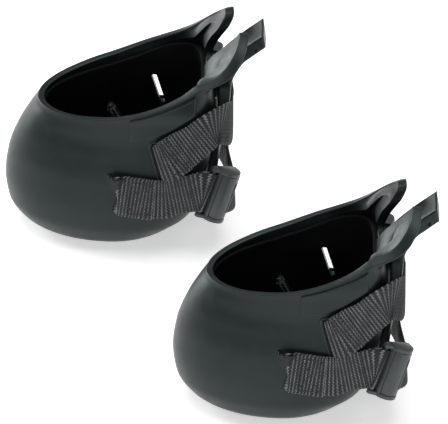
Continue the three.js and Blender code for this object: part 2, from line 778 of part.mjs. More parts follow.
function upperStrap() {
  const run = strapRun(-1, [
    [55, 104, FOLD_T],
    [61, 108, FOLD_T],
    [66, 111.5, STRAP_T],
    [75, 117, STRAP_T],
    [83, 122, STRAP_T],
  ], UPPER_STRAP_GAP);
  const round = [
    station(94, -58, 129),
    station(102.5, -50, 130),
    station(109, -38, 124),
    station(112.5, -22, 114),
    station(113.5, 0, 108),
    station(113.5, 14, 109),
    station(112, 28, 114),
  ];
  const inside = [18, 12, 0, -9].map((x) => inBuckle(UPPER_BUCKLE, x, STRAP_IN_BUCKLE_Z));
  const strap = ribbon([...throughSlot(UPPER_SLOT, -1), ...run, ...round, ...inside]);
  return cut(strap, [keeperBore(UPPER_SLOT, -1)]);
}

function upperAnchorStrap() {
  const run = strapRun(1, [
    [53, 105.5, STRAP_T],
    [59, 108.5, STRAP_T],
    [66, 112, STRAP_T],
  ], UPPER_STRAP_GAP);
  const holes = RIVETS.map((place) => rivetHole(place, RIVET.r + FIT));
  return cut(ribbon([...run, ...barEye(UPPER_BUCKLE)]), [buckleBarBore(UPPER_BUCKLE), ...holes]);
}

// ---- rivets ------------------------------------------------------------------------------

// A rivet with its dome on the inside, standing along a line that points away from the leg.
function rivet({ at, out }, inside, outside) {
  const profile = [
    [0, -inside - RIVET.dome],
    [RIVET.head * 0.6, -inside - RIVET.dome * 0.75],
    [RIVET.head, -inside - 0.3],
    [RIVET.head, -inside],
    [RIVET.r, -inside],
    [RIVET.r, outside],
    [0, outside],
  ].map(([r, h]) => new THREE.Vector2(r, h));
  const turn = new THREE.Quaternion().setFromUnitVectors(new THREE.Vector3(0, 1, 0), out);
  const lathe = new THREE.LatheGeometry(profile, ROUND_STEPS);
  return lathe.applyQuaternion(turn).translate(at.x, at.y, at.z);
}

function washer({ at, out }, from) {
  const inner = RIVET.r + FIT;
  const profile = [
    [inner, 0],
    [RIVET.washer, 0],
    [RIVET.washer, RIVET.washerT],
    [inner, RIVET.washerT],
    [inner, 0],
  ].map(([r, h]) => new THREE.Vector2(r, h + from));
  const turn = new THREE.Quaternion().setFromUnitVectors(new THREE.Vector3(0, 1, 0), out);
  const lathe = new THREE.LatheGeometry(profile, ROUND_STEPS);
  return lathe.applyQuaternion(turn).translate(at.x, at.y, at.z);
}

// ---- the assembly ------------------------------------------------------------------------

function part(name, geometry, material) {
  const mesh = new THREE.Mesh(geometry, new THREE.MeshStandardMaterial(MATERIALS[material]));
  mesh.name = name;
  return mesh;
}

function kneePad(side) {
  const pad = new THREE.Group();
  const add = (name, geometry, material) => pad.add(part(`${side}_${name}`, geometry, material));
  add("shell", shell(), "rubber");
  add("foam_liner", liner(), "sponge");
  add("knee_cushion", kneeCushion(), "sponge");
  add("near_rim_band", band(-1), "rubber");
  add("far_rim_band", band(1), "rubber");
  add("back_panel", backPanel(), "rubber");
  add("back_tongue", backTongue(), "rubber");
  add("lower_anchor_strap", lowerAnchorStrap(), "webbing");
  add("lower_strap", lowerStrap(), "webbing");
  add("upper_strap", upperStrap(), "webbing");
  add("upper_anchor_strap", upperAnchorStrap(), "webbing");
  add("lower_near_keeper", keeperBar(LOWER_SLOT, -1), "steel");
  add("lower_far_keeper", keeperBar(LOWER_SLOT, 1), "steel");
  add("upper_near_keeper", keeperBar(UPPER_SLOT, -1), "steel");
  pad.add(buckleMeshes(`${side}_lower`, LOWER_BUCKLE));
  pad.add(buckleMeshes(`${side}_upper`, UPPER_BUCKLE));
  for (const place of RIVETS) {
    const axis = rivetAxis(place);
    const end = place.washer + RIVET_END;
    add(`${place.name}_rivet`, rivet(axis, wallAt(place.z) + 1.2, end), "steel");
    add(`${place.name}_washer`, washer(axis, place.washer), "steel");
  }
  ["near", "far"].forEach((place, i) => {
    const axis = heelAxis(i ? 1 : -1);
    add(`${place}_heel_rivet`, rivet(axis, wallAt(HEEL_RIVET_Z) + 5.2, 14), "steel");
  });
  return pad;
}

const kneePads = new THREE.Group();
for (const [side, share] of [["left", -0.5], ["right", 0.5]]) {
  const pad = kneePad(side);
  pad.position.set(share * PAD_SPACING.x - PAD_LENGTH_CENTRE, share * PAD_SPACING.y, 0);
  kneePads.add(pad);
}

export default kneePads;
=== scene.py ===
"""A pair of moulded rubber knee pads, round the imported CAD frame.

Each pad is drawn once in its own frame, in millimetres, and placed twice. In that frame X runs
from the bulging front (-X) to the back (+X), -Y is the near side and the sole rests on Z = 0.
"""

import math

import bmesh
import bpy
import numpy as np
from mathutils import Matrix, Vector


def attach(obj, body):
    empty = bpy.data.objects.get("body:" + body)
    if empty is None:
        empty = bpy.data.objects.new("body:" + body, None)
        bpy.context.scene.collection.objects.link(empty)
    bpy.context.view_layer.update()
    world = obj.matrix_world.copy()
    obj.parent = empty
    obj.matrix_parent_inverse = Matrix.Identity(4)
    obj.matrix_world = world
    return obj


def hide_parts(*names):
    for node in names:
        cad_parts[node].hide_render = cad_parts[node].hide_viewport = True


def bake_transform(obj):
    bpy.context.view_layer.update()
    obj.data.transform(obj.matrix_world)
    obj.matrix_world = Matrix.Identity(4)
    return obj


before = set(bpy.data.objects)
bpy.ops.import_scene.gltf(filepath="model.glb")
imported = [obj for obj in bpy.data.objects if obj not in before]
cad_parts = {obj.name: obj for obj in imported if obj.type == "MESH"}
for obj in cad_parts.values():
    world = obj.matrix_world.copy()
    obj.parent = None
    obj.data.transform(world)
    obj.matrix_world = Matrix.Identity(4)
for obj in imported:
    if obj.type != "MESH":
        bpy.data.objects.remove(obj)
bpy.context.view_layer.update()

# ---- driving dimensions, the same as the CAD's, in millimetres -------------------------------

MM = 0.001
PADS = {"left": (-101.5, 143.0), "right": (50.5, -143.0)}

# Plan of the cup at several heights: z, front end, widest place, back end, half width, and how
# square the back corners are.
CUP = np.array([
    (0, -50, 5, 46, 38, 2),
    (4, -66, 6, 57, 49, 2),
    (14, -80, 10, 70, 60, 2.1),
    (30, -89.5, 15, 80, 68.5, 2.8),
    (51, -92, 20, 86, 71, 3.5),
    (75, -89, 25, 91, 69.5, 4),
    (100, -80, 32, 96, 65, 4.3),
    (118, -70, 38, 98, 62.5, 4.4),
    (135, -59, 40, 98, 62.5, 4.5),
    (150, -55, 40, 96, 64, 4.7),
    (165, -55, 40, 95, 62, 6),
    (178, -55, 40, 102.5, 61.5, 9),
    (190, -55, 40, 114.5, 61, 11),
    (200, -55, 40, 123, 58, 11),
    (208, -55, 40, 128, 53, 11),
])
CUP_COLUMNS = {"front": 1, "mid": 2, "back": 3, "half": 4, "square": 5}

# Height of the rim by the angle round the cup, 0 at the front and 180 at the back: angle, near
# side, far side. The two wings of the soft rubber do not stand quite alike.
RIM = np.array([
    (0, 130, 130), (20, 132, 132), (40, 136.5, 136.5), (60, 141, 141), (80, 147.5, 147.5),
    (100, 155.5, 155.5), (115, 163, 163), (126, 171.5, 171.5), (139, 186, 186), (147, 197, 195),
    (153, 203.5, 200.5), (160, 207.5, 204.5), (180, 209, 206),
])
# How much further forward the far wing stands: height, distance.
FAR_WING = np.array([(170, 0), (178, 2), (190, 5), (200, 9.5), (209, 12.5)])
# How much further back the outer corner of the near wing turns out: height, distance.
NEAR_CORNER = np.array([(171, 0), (176, 7), (181, 10), (187, 8.5), (196, 4.5), (205, 1), (209, 0)])
WALL_T = 6.0
# Thickness of the wall: height, thickness.
WALL = np.array([(0, WALL_T), (150, WALL_T), (185, 9.5), (210, 8)])
SOLE_T = 8.0
EDGE = 1.6  # how far the rounded edge stands past the last row of the wall

# The edge of a wing and the notch beside it: where a column of the mesh starts at the sole
# (angle), and where it ends (distance from the middle plane, height on the near and far side).
WING = [
    (147.5, 33.0, 205.2, 202.0),
    (149.0, 25.5, 206.6, 203.4),
    (150.0, 21.2, 206.8, 203.6),
    (150.8, 19.6, 205.4, 202.4),
    (151.6, 19.8, 200.5, 198.5),
    (152.6, 21.4, 189.5, 189.0),
    (153.8, 23.2, 178.5, 178.5),
    (155.4, 24.5, 170.0, 170.0),
    (157.5, 23.2, 163.5, 163.5),
    (160.5, 19.0, 158.6, 158.6),
    (165.0, 13.0, 156.4, 156.4),
    (172.0, 6.5, 155.6, 155.6),
    (180.0, 0.0, 155.5, 155.5),
]

# Height where the wall starts to flare outwards on its inner side, by the angle round the cup.
CREASE = np.array([
    (0, 126), (40, 131), (70, 138), (90, 145), (105, 151), (120, 156.5),
    (130, 162), (140, 175), (148, 186), (160, 190), (180, 190),
])
OVERHANG = 4.9  # the flare starts this far inside the wall, level with the lining's face

LINER_GAP = 0.9
LINER_T = 4.0
LINER_FLOOR = 4.0

# The knee cushion: gaps under and round it, height of its side, rise of its crown, depth of its
# sewn ring and of its channels, and the distance between channels.
CUSHION = {
    "gap": 1, "clear": 6, "side": 14, "crown": 8.5, "ring": 2.4, "channel": 1.8, "pitch": 19,
}

BAND_FROM = 21
BAND_TO = 80
BAND_RAISED = 2.5

SLOT_W = 4.4
SLOT_PLAY = 2.5
LOWER_SLOT = (9.5, 69.0, 18.0, 42.0)  # x, z, the x gained going down, and the length
UPPER_SLOT = (46.0, 100.0, 9.0, 36.0)
KEEPER_R = 2.5
KEEPER_EXTRA = 5.0
KEEPER_DEPTH = WALL_T + LINER_T + LINER_GAP + 6

STRAP_W = 40.0
STRAP_T = 1.8
FOLD_T = 3.4
STRAP_GAP = 1.8
UPPER_GAP = 3.0
WEAVE_PITCH = 3.2  # length of one row of the weave
YARN_PITCH = 1.7
YARN_SHIFT = 0.12  # how far every other yarn is set back, in rows
RIB = 0.26  # how far a row stands out

PANEL_HALF = 30.0
TONGUE_HALF = 16.0
# Side view of the panel and tongue: x and z of the inner face, x and z of the outer face.
PANEL = [
    (86, 36, 93, 36), (91, 60, 99.5, 60), (94.5, 80, 102.5, 80), (98.8, 100, 105, 100),
    (100.8, 118, 108.5, 118), (101, 135, 111.5, 135), (99.5, 152, 113, 152),
    (99.5, 160, 116.5, 161), (103, 169, 123, 172), (120, 186, 132, 180), (141, 203, 143, 189),
]

BUCKLE = {"length": 50.0, "depth": 22.0, "height": 17.0, "cheek": 3.7, "floor": 2.2}
BAR = (-14.5, 4.6, 2.0)  # x, z and radius of the bar that the anchor strap is folded round
PIN = (-4.5, 9.5, 1.6)
NOSE_R = 4.3
FIT = 0.3
STRAP_IN_BUCKLE_Z = 3.5
LOWER_BUCKLE = {"at": (99, -55, 63), "turn": 30, "lean": 22, "side": -1}
UPPER_BUCKLE = {"at": (94, 54.5, 118), "turn": 26, "lean": -8, "side": 1}

RIVETS = {"front": (57, 123, 6.4), "rear": (68, 127, 11)}  # x, z, where the washer stands
HEEL_RIVET_Y = 18.0
HEEL_RIVET_Z = 46.0


# ---- curves -----------------------------------------------------------------------------------

def smooth_table(xs, ys, at):
    """Values at places between the rows of a table, on a smooth curve that never overshoots."""
    xs = np.asarray(xs, float)
    ys = np.asarray(ys, float)
    at = np.clip(np.asarray(at, float), xs[0], xs[-1])
    slopes = np.diff(ys) / np.diff(xs)
    before = slopes[:-1]
    after = slopes[1:]
    total = np.where(np.abs(before + after) < 1e-12, 1.0, before + after)
    inner = np.where(before * after <= 0, 0.0, 2 * before * after / total)
    tangents = np.concatenate([[slopes[0]], inner, [slopes[-1]]])
    i = np.clip(np.searchsorted(xs, at, side="right") - 1, 0, len(xs) - 2)
    span = xs[i + 1] - xs[i]
    t = (at - xs[i]) / span
    rise = ys[i + 1] - ys[i]
    ease = t * t * (3 - 2 * t)
    bend = t * (1 - t) ** 2 * tangents[i] - t * t * (1 - t) * tangents[i + 1]
    return ys[i] + rise * ease + span * bend


def through_points(points, step):
    """Even samples, about step apart, on a smooth curve through the points."""
    points = np.asarray(points, float)
    gaps = np.linalg.norm(np.diff(points, axis=0), axis=1)
    knots = np.concatenate([[0], np.cumsum(np.sqrt(np.maximum(gaps, 1e-9)))])
    ends = [2 * points[0] - points[1], *points, 2 * points[-1] - points[-2]]
    ends_at = [2 * knots[0] - knots[1], *knots, 2 * knots[-1] - knots[-2]]
    dense = []
    for i in range(len(points) - 1):
        p = [ends[i + k] for k in range(4)]
        k0, k1, k2, k3 = (ends_at[i + k] for k in range(4))
        for t in np.linspace(k1, k2, 24, endpoint=False):
            a1 = p[0] * (k1 - t) / (k1 - k0) + p[1] * (t - k0) / (k1 - k0)
            a2 = p[1] * (k2 - t) / (k2 - k1) + p[2] * (t - k1) / (k2 - k1)
            a3 = p[2] * (k3 - t) / (k3 - k2) + p[3] * (t - k2) / (k3 - k2)
            b1 = a1 * (k2 - t) / (k2 - k0) + a2 * (t - k0) / (k2 - k0)
            b2 = a2 * (k3 - t) / (k3 - k1) + a3 * (t - k1) / (k3 - k1)
            dense.append(b1 * (k2 - t) / (k2 - k1) + b2 * (t - k1) / (k2 - k1))
    dense = np.array([*dense, points[-1]])
    return resampled(dense, step)


def lengths_along(points):
    return np.concatenate([[0], np.cumsum(np.linalg.norm(np.diff(points, axis=0), axis=1))])


def resampled(points, step):
    along = lengths_along(points)
    count = max(int(round(along[-1] / step)), 2) + 1
    wanted = np.linspace(0, along[-1], count)
    return np.stack([np.interp(wanted, along, points[:, k]) for k in range(points.shape[1])], 1)


def unit(vectors):
    vectors = np.asarray(vectors, float)
    return vectors / np.linalg.norm(vectors, axis=-1, keepdims=True)


# ---- the cup's surface ------------------------------------------------------------------------

def cup_at(column, z):
    return smooth_table(CUP[:, 0], CUP[:, CUP_COLUMNS[column]], z)


def rim_at(angle):
    """Height of the rim at angles round the cup, negative on the near side."""
    near, far = (smooth_table(RIM[:, 0], RIM[:, k], np.abs(angle)) for k in (1, 2))
    return np.where(np.asarray(angle) < 0, near, far)


def back_at(far, z):
    """Back end of the plan at a height, on the near or the far side."""
    return cup_at("back", z) - np.where(far, smooth_table(*FAR_WING.T, z), 0)


def wall_at(z):
    return smooth_table(*WALL.T, z)


def cup_points(angle, z, inset=0.0, height=None):
    """Points on the cup's outside at angles round it, moved inwards by inset."""
    angle, z = np.broadcast_arrays(np.asarray(angle, float), np.asarray(z, float))
    turn = np.radians(angle)
    mid = cup_at("mid", z)
    front = np.abs(angle) < 90
    reach = np.where(front, mid - cup_at("front", z), back_at(angle > 0, z) - mid) - inset
    half = cup_at("half", z) - inset
    power = np.where(front, 2.0, cup_at("square", z))
    c = np.abs(np.cos(turn)) / reach
    s = np.abs(np.sin(turn)) / half
    radius = (c**power + s**power) ** (-1 / power)
    height = z if height is None else height
    y = radius * np.sin(turn)
    corner = np.where(angle < -90, smooth_table(*NEAR_CORNER.T, z) * (np.abs(y) / half) ** 3, 0)
    return np.stack([mid - radius * np.cos(turn) + corner, y, height + 0 * z], -1)


def cup_half(x, z):
    """Distance from the middle plane to the cup's outside, at a length and a height."""
    x, z = np.broadcast_arrays(np.asarray(x, float), np.asarray(z, float))
    mid = cup_at("mid", z)
    front = x < mid
    reach = np.where(front, mid - cup_at("front", z), cup_at("back", z) - mid)
    power = np.where(front, 2.0, cup_at("square", z))
    part = np.minimum(np.abs(x - mid) / reach, 1)
    return cup_at("half", z) * (1 - part**power) ** (1 / power)


def angle_of(y, z):
    """Angle round the cup of a place on its back wall, given by y and z."""
    spread = (np.abs(y) / cup_at("half", z)) ** cup_at("square", z)
    reach = back_at(y > 0, z) - cup_at("mid", z)
    x = reach * (1 - spread) ** (1 / cup_at("square", z))
    return math.copysign(180 - np.degrees(np.arctan2(abs(y), x)), y)


# ---- meshes -----------------------------------------------------------------------------------

def new_piece(name, points, faces, side, uvs=None, smooth_angle=None):
    """An object from points in a pad's own frame, in millimetres."""
    mesh = bpy.data.meshes.new(name)
    shift = np.array([*PADS[side], 0.0])
    mesh.from_pydata(((np.asarray(points, float) + shift) * MM).tolist(), [], faces)
    mesh.validate()
    if uvs is not None:
        layer = mesh.uv_layers.new(name="weave")
        corner = np.empty(len(mesh.loops), dtype=np.int32)
        mesh.loops.foreach_get("vertex_index", corner)
        layer.data.foreach_set("uv", np.asarray(uvs, np.float32)[corner].ravel())
    shade_smooth(mesh, smooth_angle)
    piece = bpy.data.objects.new(name, mesh)
    bpy.context.collection.objects.link(piece)
    face_outwards(mesh)
    return piece


def shade_smooth(mesh, sharp_angle=None):
    mesh.polygons.foreach_set("use_smooth", [True] * len(mesh.polygons))
    if sharp_angle is not None:
        mesh.set_sharp_from_angle(angle=math.radians(sharp_angle))
    mesh.update()


def face_outwards(mesh):
    work = bmesh.new()
    work.from_mesh(mesh)
    bmesh.ops.recalc_face_normals(work, faces=work.faces)
    work.to_mesh(mesh)
    work.free()


def loop_faces(rows, count, start=0):
    """Faces between closed loops of count points each."""
    faces = []
    for row in range(rows - 1):
        for i in range(count):
            a = start + row * count + i
            b = start + row * count + (i + 1) % count
            faces.append((a, b, b + count, a + count))
    return faces


def lofted(loops, start=0, capped=True):
    """Points and faces of a closed skin over closed loops; each end closes on a middle point."""
    loops = np.asarray(loops, float)
    rows, count = loops.shape[:2]
    points = list(loops.reshape(-1, 3))
    faces = loop_faces(rows, count, start)
    if capped:
        for row in (0, rows - 1):
            points.append(loops[row].mean(axis=0))
            centre = start + len(points) - 1
            base = start + row * count
            faces += [(base + i, base + (i + 1) % count, centre) for i in range(count)]
    return points, faces


def merged(parts):
    """Several (points, faces) as one."""
    points, faces = [], []
    for some_points, some_faces in parts:
        start = len(points)
        points += list(some_points)
        faces += [tuple(start + i for i in face) for face in some_faces]
    return points, faces


def lathe(profile, at, out, steps=32):
    """A closed skin turned round an axis; the profile is (radius, height along the axis)."""
    out = unit(out)
    side = unit(np.cross(out, (0.3, 0.2, 1.0)))
    other = np.cross(out, side)
    turn = np.linspace(0, 2 * math.pi, steps, endpoint=False)
    ring = np.cos(turn)[:, None] * side + np.sin(turn)[:, None] * other
    return lofted([np.asarray(at) + out * h + ring * max(r, 0.02) for r, h in profile])


def rod(start, end, radius, steps=24):
    """A round bar with softened ends."""
    start, end = np.asarray(start, float), np.asarray(end, float)
    length = np.linalg.norm(end - start)
    soft = min(0.6, radius / 2)
    ends = [(radius - soft, 0), (radius - soft * 0.3, soft * 0.3), (radius, soft)]
    profile = ends + [(r, length - h) for r, h in reversed(ends)]
    return lathe(profile, start, end - start, steps)


def cut_out(piece, cutters):
    """Cuts closed skins, in the pad's own frame, out of a piece."""
    side = piece.name.split("_")[0]
    points, faces = merged(cutters)
    tool = new_piece("cutter", points, faces, side)
    cut = piece.modifiers.new("cut", "BOOLEAN")
    cut.operation = "DIFFERENCE"
    cut.solver = "EXACT"
    cut.use_self = False
    cut.object = tool
    graph = bpy.context.evaluated_depsgraph_get()
    result = bpy.data.meshes.new_from_object(piece.evaluated_get(graph))
    piece.modifiers.clear()
    piece.data = result
    bpy.data.objects.remove(tool)
    shade_smooth(piece.data, 38)
    return piece


def softened(piece, width, segments=3, angle=35):
    """Rounds the sharp edges of a piece."""
    bevel = piece.modifiers.new("softened", "BEVEL")
    bevel.width = width * MM
    bevel.segments = segments
    bevel.limit_method = "ANGLE"
    bevel.angle_limit = math.radians(angle)
    bevel.harden_normals = False
    graph = bpy.context.evaluated_depsgraph_get()
    result = bpy.data.meshes.new_from_object(piece.evaluated_get(graph))
    piece.modifiers.clear()
    piece.data = result
    shade_smooth(piece.data, 45)
    return piece


# ---- materials --------------------------------------------------------------------------------

def new_material(name, roughness, metallic=0.0, specular=0.5):
    material = bpy.data.materials.new(name)
    material.use_nodes = True
    shader = material.node_tree.nodes["Principled BSDF"]
    shader.inputs["Roughness"].default_value = roughness
    shader.inputs["Metallic"].default_value = metallic
    shader.inputs["Specular IOR Level"].default_value = specular
    return material, shader


def add_node(material, kind, settings=(), **inputs):
    """A node with its settings and its sockets set; a socket given as a socket is linked."""
    node = material.node_tree.nodes.new(kind)
    for key, value in dict(settings).items():
        setattr(node, key, value)
    for key, value in inputs.items():
        socket = node.inputs[int(key[1:]) if key[0] == "_" else key.replace("_", " ")]
        if isinstance(value, bpy.types.NodeSocket):
            material.node_tree.links.new(value, socket)
        else:
            socket.default_value = value
    return node


def link(material, source, target):
    material.node_tree.links.new(source, target)


def math_node(material, operation, a, b=0.0):
    return add_node(material, "ShaderNodeMath", {"operation": operation}, _0=a, _1=b).outputs[0]


def noise(material, where, scale, detail=4.0, roughness=0.55):
    made = add_node(
        material, "ShaderNodeTexNoise", Vector=where, Scale=scale, Detail=detail,
        Roughness=roughness,
    )
    return made.outputs["Fac"]


def ramp(material, value, stops):
    """Colours along a value: stops are (place, grey or colour)."""
    made = add_node(material, "ShaderNodeValToRGB", Fac=value)
    elements = made.color_ramp.elements
    while len(elements) < len(stops):
        elements.new(0.5)
    for element, (place, colour) in zip(elements, stops):
        element.position = place
        grey = isinstance(colour, (int, float))
        element.color = (colour, colour, colour, 1) if grey else (*colour, 1)
    return made.outputs["Color"]


def mixed(material, share, a, b):
    """A colour between a and b."""
    made = add_node(material, "ShaderNodeMix", {"data_type": "RGBA"}, _0=share)
    for socket, value in ((made.inputs[6], a), (made.inputs[7], b)):
        if isinstance(value, bpy.types.NodeSocket):
            link(material, value, socket)
        else:
            socket.default_value = (*value, 1)
    return made.outputs[2]


def bumped(material, shader, heights):
    """Bump from several (height, distance in metres, strength), finest last."""
    normal = None
    for height, distance, strength in heights:
        made = add_node(
            material, "ShaderNodeBump", Height=height, Distance=distance, Strength=strength,
        )
        if normal is not None:
            link(material, normal, made.inputs["Normal"])
        normal = made.outputs["Normal"]
    link(material, normal, shader.inputs["Normal"])


def surface(material, shader, colour, rough, heights):
    """Joins a colour, a roughness and bumps to a material's shader."""
    link(material, colour, shader.inputs["Base Color"])
    link(material, rough, shader.inputs["Roughness"])
    bumped(material, shader, heights)
    return material


def object_coordinates(material):
    return add_node(material, "ShaderNodeTexCoord").outputs["Object"]


def stretched(material, where, factors):
    settings = {"operation": "MULTIPLY"}
    return add_node(material, "ShaderNodeVectorMath", settings, _0=where, _1=factors).outputs[0]


def rubber_material():
    """Smooth moulded rubber: satin and faintly mottled in tone and gloss, with sharp edges paler,
    partly as edge wear and partly as a painted highlight along the rims and band edges.
    """
    material, shader = new_material("moulded rubber", 0.4, specular=0.3)
    where = object_coordinates(material)
    broad = noise(material, where, 14.0, 3.0)
    mottle = noise(material, where, 90.0, 5.0)
    grain = noise(material, where, 1400.0, 2.0)
    tint = ramp(material, broad, [(0.3, (0.006, 0.009, 0.009)), (0.7, (0.0105, 0.0148, 0.0148))])
    shader.inputs["Specular Tint"].default_value = (0.84, 1.0, 0.98, 1.0)
    bloom = ramp(material, mottle, [(0.52, 0.0), (0.8, 0.5)])
    # Pointiness lightens the sharp edges: partly edge wear, partly a painted highlight on the rims
    # and on the band's edges.
    wear_and_sheen_mask = add_node(material, "ShaderNodeNewGeometry").outputs["Pointiness"]
    edge_wear_and_highlight = ramp(material, wear_and_sheen_mask, [(0.5, 0.0), (0.58, 0.6)])
    share = math_node(material, "ADD", math_node(material, "MULTIPLY", bloom, 0.25), edge_wear_and_highlight)
    colour = mixed(material, share, tint, (0.045, 0.053, 0.053))
    dull = ramp(material, mottle, [(0.3, 0.34), (0.75, 0.46)])
    heights = [(broad, 0.0012, 0.25), (mottle, 0.0002, 0.3), (grain, 0.00004, 0.5)]
    return surface(material, shader, colour, dull, heights)


def sponge_material():
    """Matte closed-cell black sponge with a fine open skin, painted darker than the moulded rubber
    as shade for the inside of the cup.
    """
    material, shader = new_material("sponge rubber", 0.9, specular=0.12)
    where = object_coordinates(material)
    broad = noise(material, where, 25.0)
    cells = add_node(
        material, "ShaderNodeTexVoronoi", {"feature": "SMOOTH_F1"}, Vector=where, Scale=900.0,
    ).outputs["Distance"]
    # Black sponge, painted darker still as shade, since it lines the shaded inside of the cup.
    shades = [(0.3, (0.002, 0.0022, 0.0023)), (0.75, (0.004, 0.0043, 0.0045))]
    colour = ramp(material, broad, shades)
    rough = ramp(material, cells, [(0.0, 0.75), (0.8, 0.95)])
    return surface(material, shader, colour, rough, [(broad, 0.0006, 0.4), (cells, 0.0003, 0.5)])


def webbing_material():
    """Coarse woven webbing: ribs across its width, every other yarn set back a little, and a
    painted highlight on the raised top of each yarn float.
    """
    material, shader = new_material("webbing", 0.62, specular=0.4)
    uv = add_node(material, "ShaderNodeUVMap", {"uv_map": "weave"}).outputs["UV"]
    parts = add_node(material, "ShaderNodeSeparateXYZ", Vector=uv)

    def times(a, b):
        return math_node(material, "MULTIPLY", a, b)

    run = times(parts.outputs["X"], 1 / WEAVE_PITCH)
    across = times(parts.outputs["Y"], 1 / YARN_PITCH)
    column = math_node(material, "FLOOR", across)
    odd = math_node(material, "MODULO", math_node(material, "ADD", column, 400.0), 2.0)
    shifted = math_node(material, "ADD", run, times(odd, YARN_SHIFT))
    along_wave = math_node(material, "SINE", times(shifted, math.tau))
    in_cell = math_node(material, "FRACT", across)
    across_wave = math_node(material, "SINE", times(in_cell, math.pi))
    lifted = math_node(material, "MAXIMUM", along_wave, 0.0)
    float_height = times(across_wave, lifted)
    fibre = noise(material, stretched(material, uv, (1.2, 9.0, 1.0)), 1.0, 3.0)
    wear_and_sheen_mask = noise(material, uv, 0.11, 3.0)
    # The pale specks are a painted highlight on the raised tops of the yarn floats, thinned in
    # patches.
    floats = ramp(material, float_height, [(0.12, 0.0), (0.65, 1.0)])
    painted_float_highlight = times(floats, ramp(material, fibre, [(0.38, 0.25), (0.58, 1.0)]))
    painted_float_highlight = times(painted_float_highlight, ramp(material, wear_and_sheen_mask, [(0.3, 0.35), (0.65, 1.0)]))
    base = mixed(material, fibre, (0.003, 0.0038, 0.0042), (0.009, 0.0105, 0.0115))
    colour = mixed(material, painted_float_highlight, base, (0.36, 0.4, 0.41))
    rough = ramp(material, fibre, [(0.3, 0.5), (0.7, 0.75)])
    heights = [(float_height, 0.0005, 0.9), (fibre, 0.00012, 0.6)]
    return surface(material, shader, colour, rough, heights)


def plastic_material():
    """Satin moulded plastic with a fine spark texture and scuffs."""
    material, shader = new_material("buckle plastic", 0.35)
    where = object_coordinates(material)
    spark = noise(material, where, 2200.0, 2.0)
    scuffs = noise(material, stretched(material, where, (60, 60, 900)), 1.0, 4.0)
    broad = noise(material, where, 45.0)
    tint = ramp(material, broad, [(0.3, (0.036, 0.044, 0.044)), (0.7, (0.05, 0.06, 0.06))])
    scuffed = ramp(material, scuffs, [(0.62, 0.0), (0.75, 0.35)])
    colour = mixed(material, scuffed, tint, (0.11, 0.12, 0.12))
    rough = ramp(material, scuffs, [(0.35, 0.3), (0.75, 0.48)])
    heights = [(scuffs, 0.00003, 0.3), (spark, 0.00003, 0.5)]
    return surface(material, shader, colour, rough, heights)


def thread_material():
    """Twisted sewing thread."""
    material, shader = new_material("thread", 0.55, specular=0.4)
    where = object_coordinates(material)
    twist = noise(material, where, 1500.0, 3.0)
    colour = ramp(material, twist, [(0.35, (0.012, 0.014, 0.015)), (0.7, (0.045, 0.05, 0.052))])
    rough = ramp(material, twist, [(0.3, 0.45), (0.7, 0.65)])
    return surface(material, shader, colour, rough, [(twist, 0.0002, 0.6)])


def steel_material():
    """Dull plated steel with fine scratches and a little tarnish."""
    material, shader = new_material("plated steel", 0.3, metallic=1.0)
    where = object_coordinates(material)
    tarnish = noise(material, where, 260.0, 5.0)
    scratches = noise(material, stretched(material, where, (200, 200, 3000)), 1.0, 3.0)
    colour = ramp(material, tarnish, [(0.35, (0.55, 0.56, 0.57)), (0.7, (0.34, 0.33, 0.31))])
    rough = ramp(material, tarnish, [(0.3, 0.25), (0.7, 0.5)])
    return surface(material, shader, colour, rough, [(scratches, 0.00002, 0.4)])


MATERIALS = {
    "moulded_rubber": rubber_material(),
    "sponge_rubber": sponge_material(),
    "webbing": webbing_material(),
    "buckle_plastic": plastic_material(),
    "rivet_steel": steel_material(),
    "thread": thread_material(),
}


def finish_piece(piece, side, slot, nodes=(), body="pad", material=None):
    """Gives a piece the material of its slot and its body, and hides the CAD nodes it stands for.
    """
    piece.data.materials.clear()
    piece.data.materials.append(MATERIALS[material or slot])
    if nodes:
        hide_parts(*[f"{side}_{node}" for node in nodes])
    if body is not None:
        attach(piece, f"{side}_{body}")
    return piece


def add_piece(side, name, skin, slot, nodes=(), body="pad", material=None, smooth_angle=None):
    """A finished piece from its (points, faces)."""
    piece = new_piece(f"{side}_{name}", *skin, side, None, smooth_angle)
    return finish_piece(piece, side, slot, nodes, body, material)


# ---- the moulded cup --------------------------------------------------------------------------

def rim_columns(side, spacing=2.3):
    """Where each column of the cup's mesh starts at the sole and ends on the rim, on one side
    (-1 near, +1 far): starting angle, ending angle and ending height."""
    angles = [0, 15, 30, 45, 60, 75, 90, 105, 118, 126, 132, 137]
    path = [(a, side * a, float(rim_at(side * a)) - EDGE) for a in angles]
    for start, angle in ((141, 143), (144, 149), (146, 154)):
        path.append((start, side * angle, float(rim_at(side * angle)) - EDGE))
    for start, y, near, far in WING:
        z = near if side < 0 else far
        path.append((start, float(angle_of(side * y, z)), z))
    path = np.array(path)
    path[:, 0] *= side
    ends = cup_points(path[:, 1], path[:, 2])
    place = lengths_along(ends)
    count = int(place[-1] / spacing)
    wanted = np.linspace(0, place[-1], count + 1)
    return np.stack([smooth_table(place, path[:, k], wanted) for k in range(3)], 1)


def both_sides(far, near):
    """The columns of the far side and then the near side, in order round the cup."""
    return np.concatenate([far, near[::-1][1:-1]])


def wall_loops(columns, inset, floor, heights):
    """Loops over one face of the cup, at the heights given for each column."""
    starts, ends, tops = columns.T
    loops = []
    for z in heights:
        lean = np.clip((z / tops - 0.45) / 0.55, 0, 1)
        lean = lean * lean * (3 - 2 * lean)
        angle = starts + (ends - starts) * lean
        height = floor + z * (tops - floor) / tops
        loops.append(cup_points(angle, z, inset(angle, height), height))
    return loops


def shares_up(rows):
    """Shares of the way up, closer together near the sole."""
    shares = np.linspace(0, 1, rows)
    return 0.35 * shares**2 + 0.65 * shares


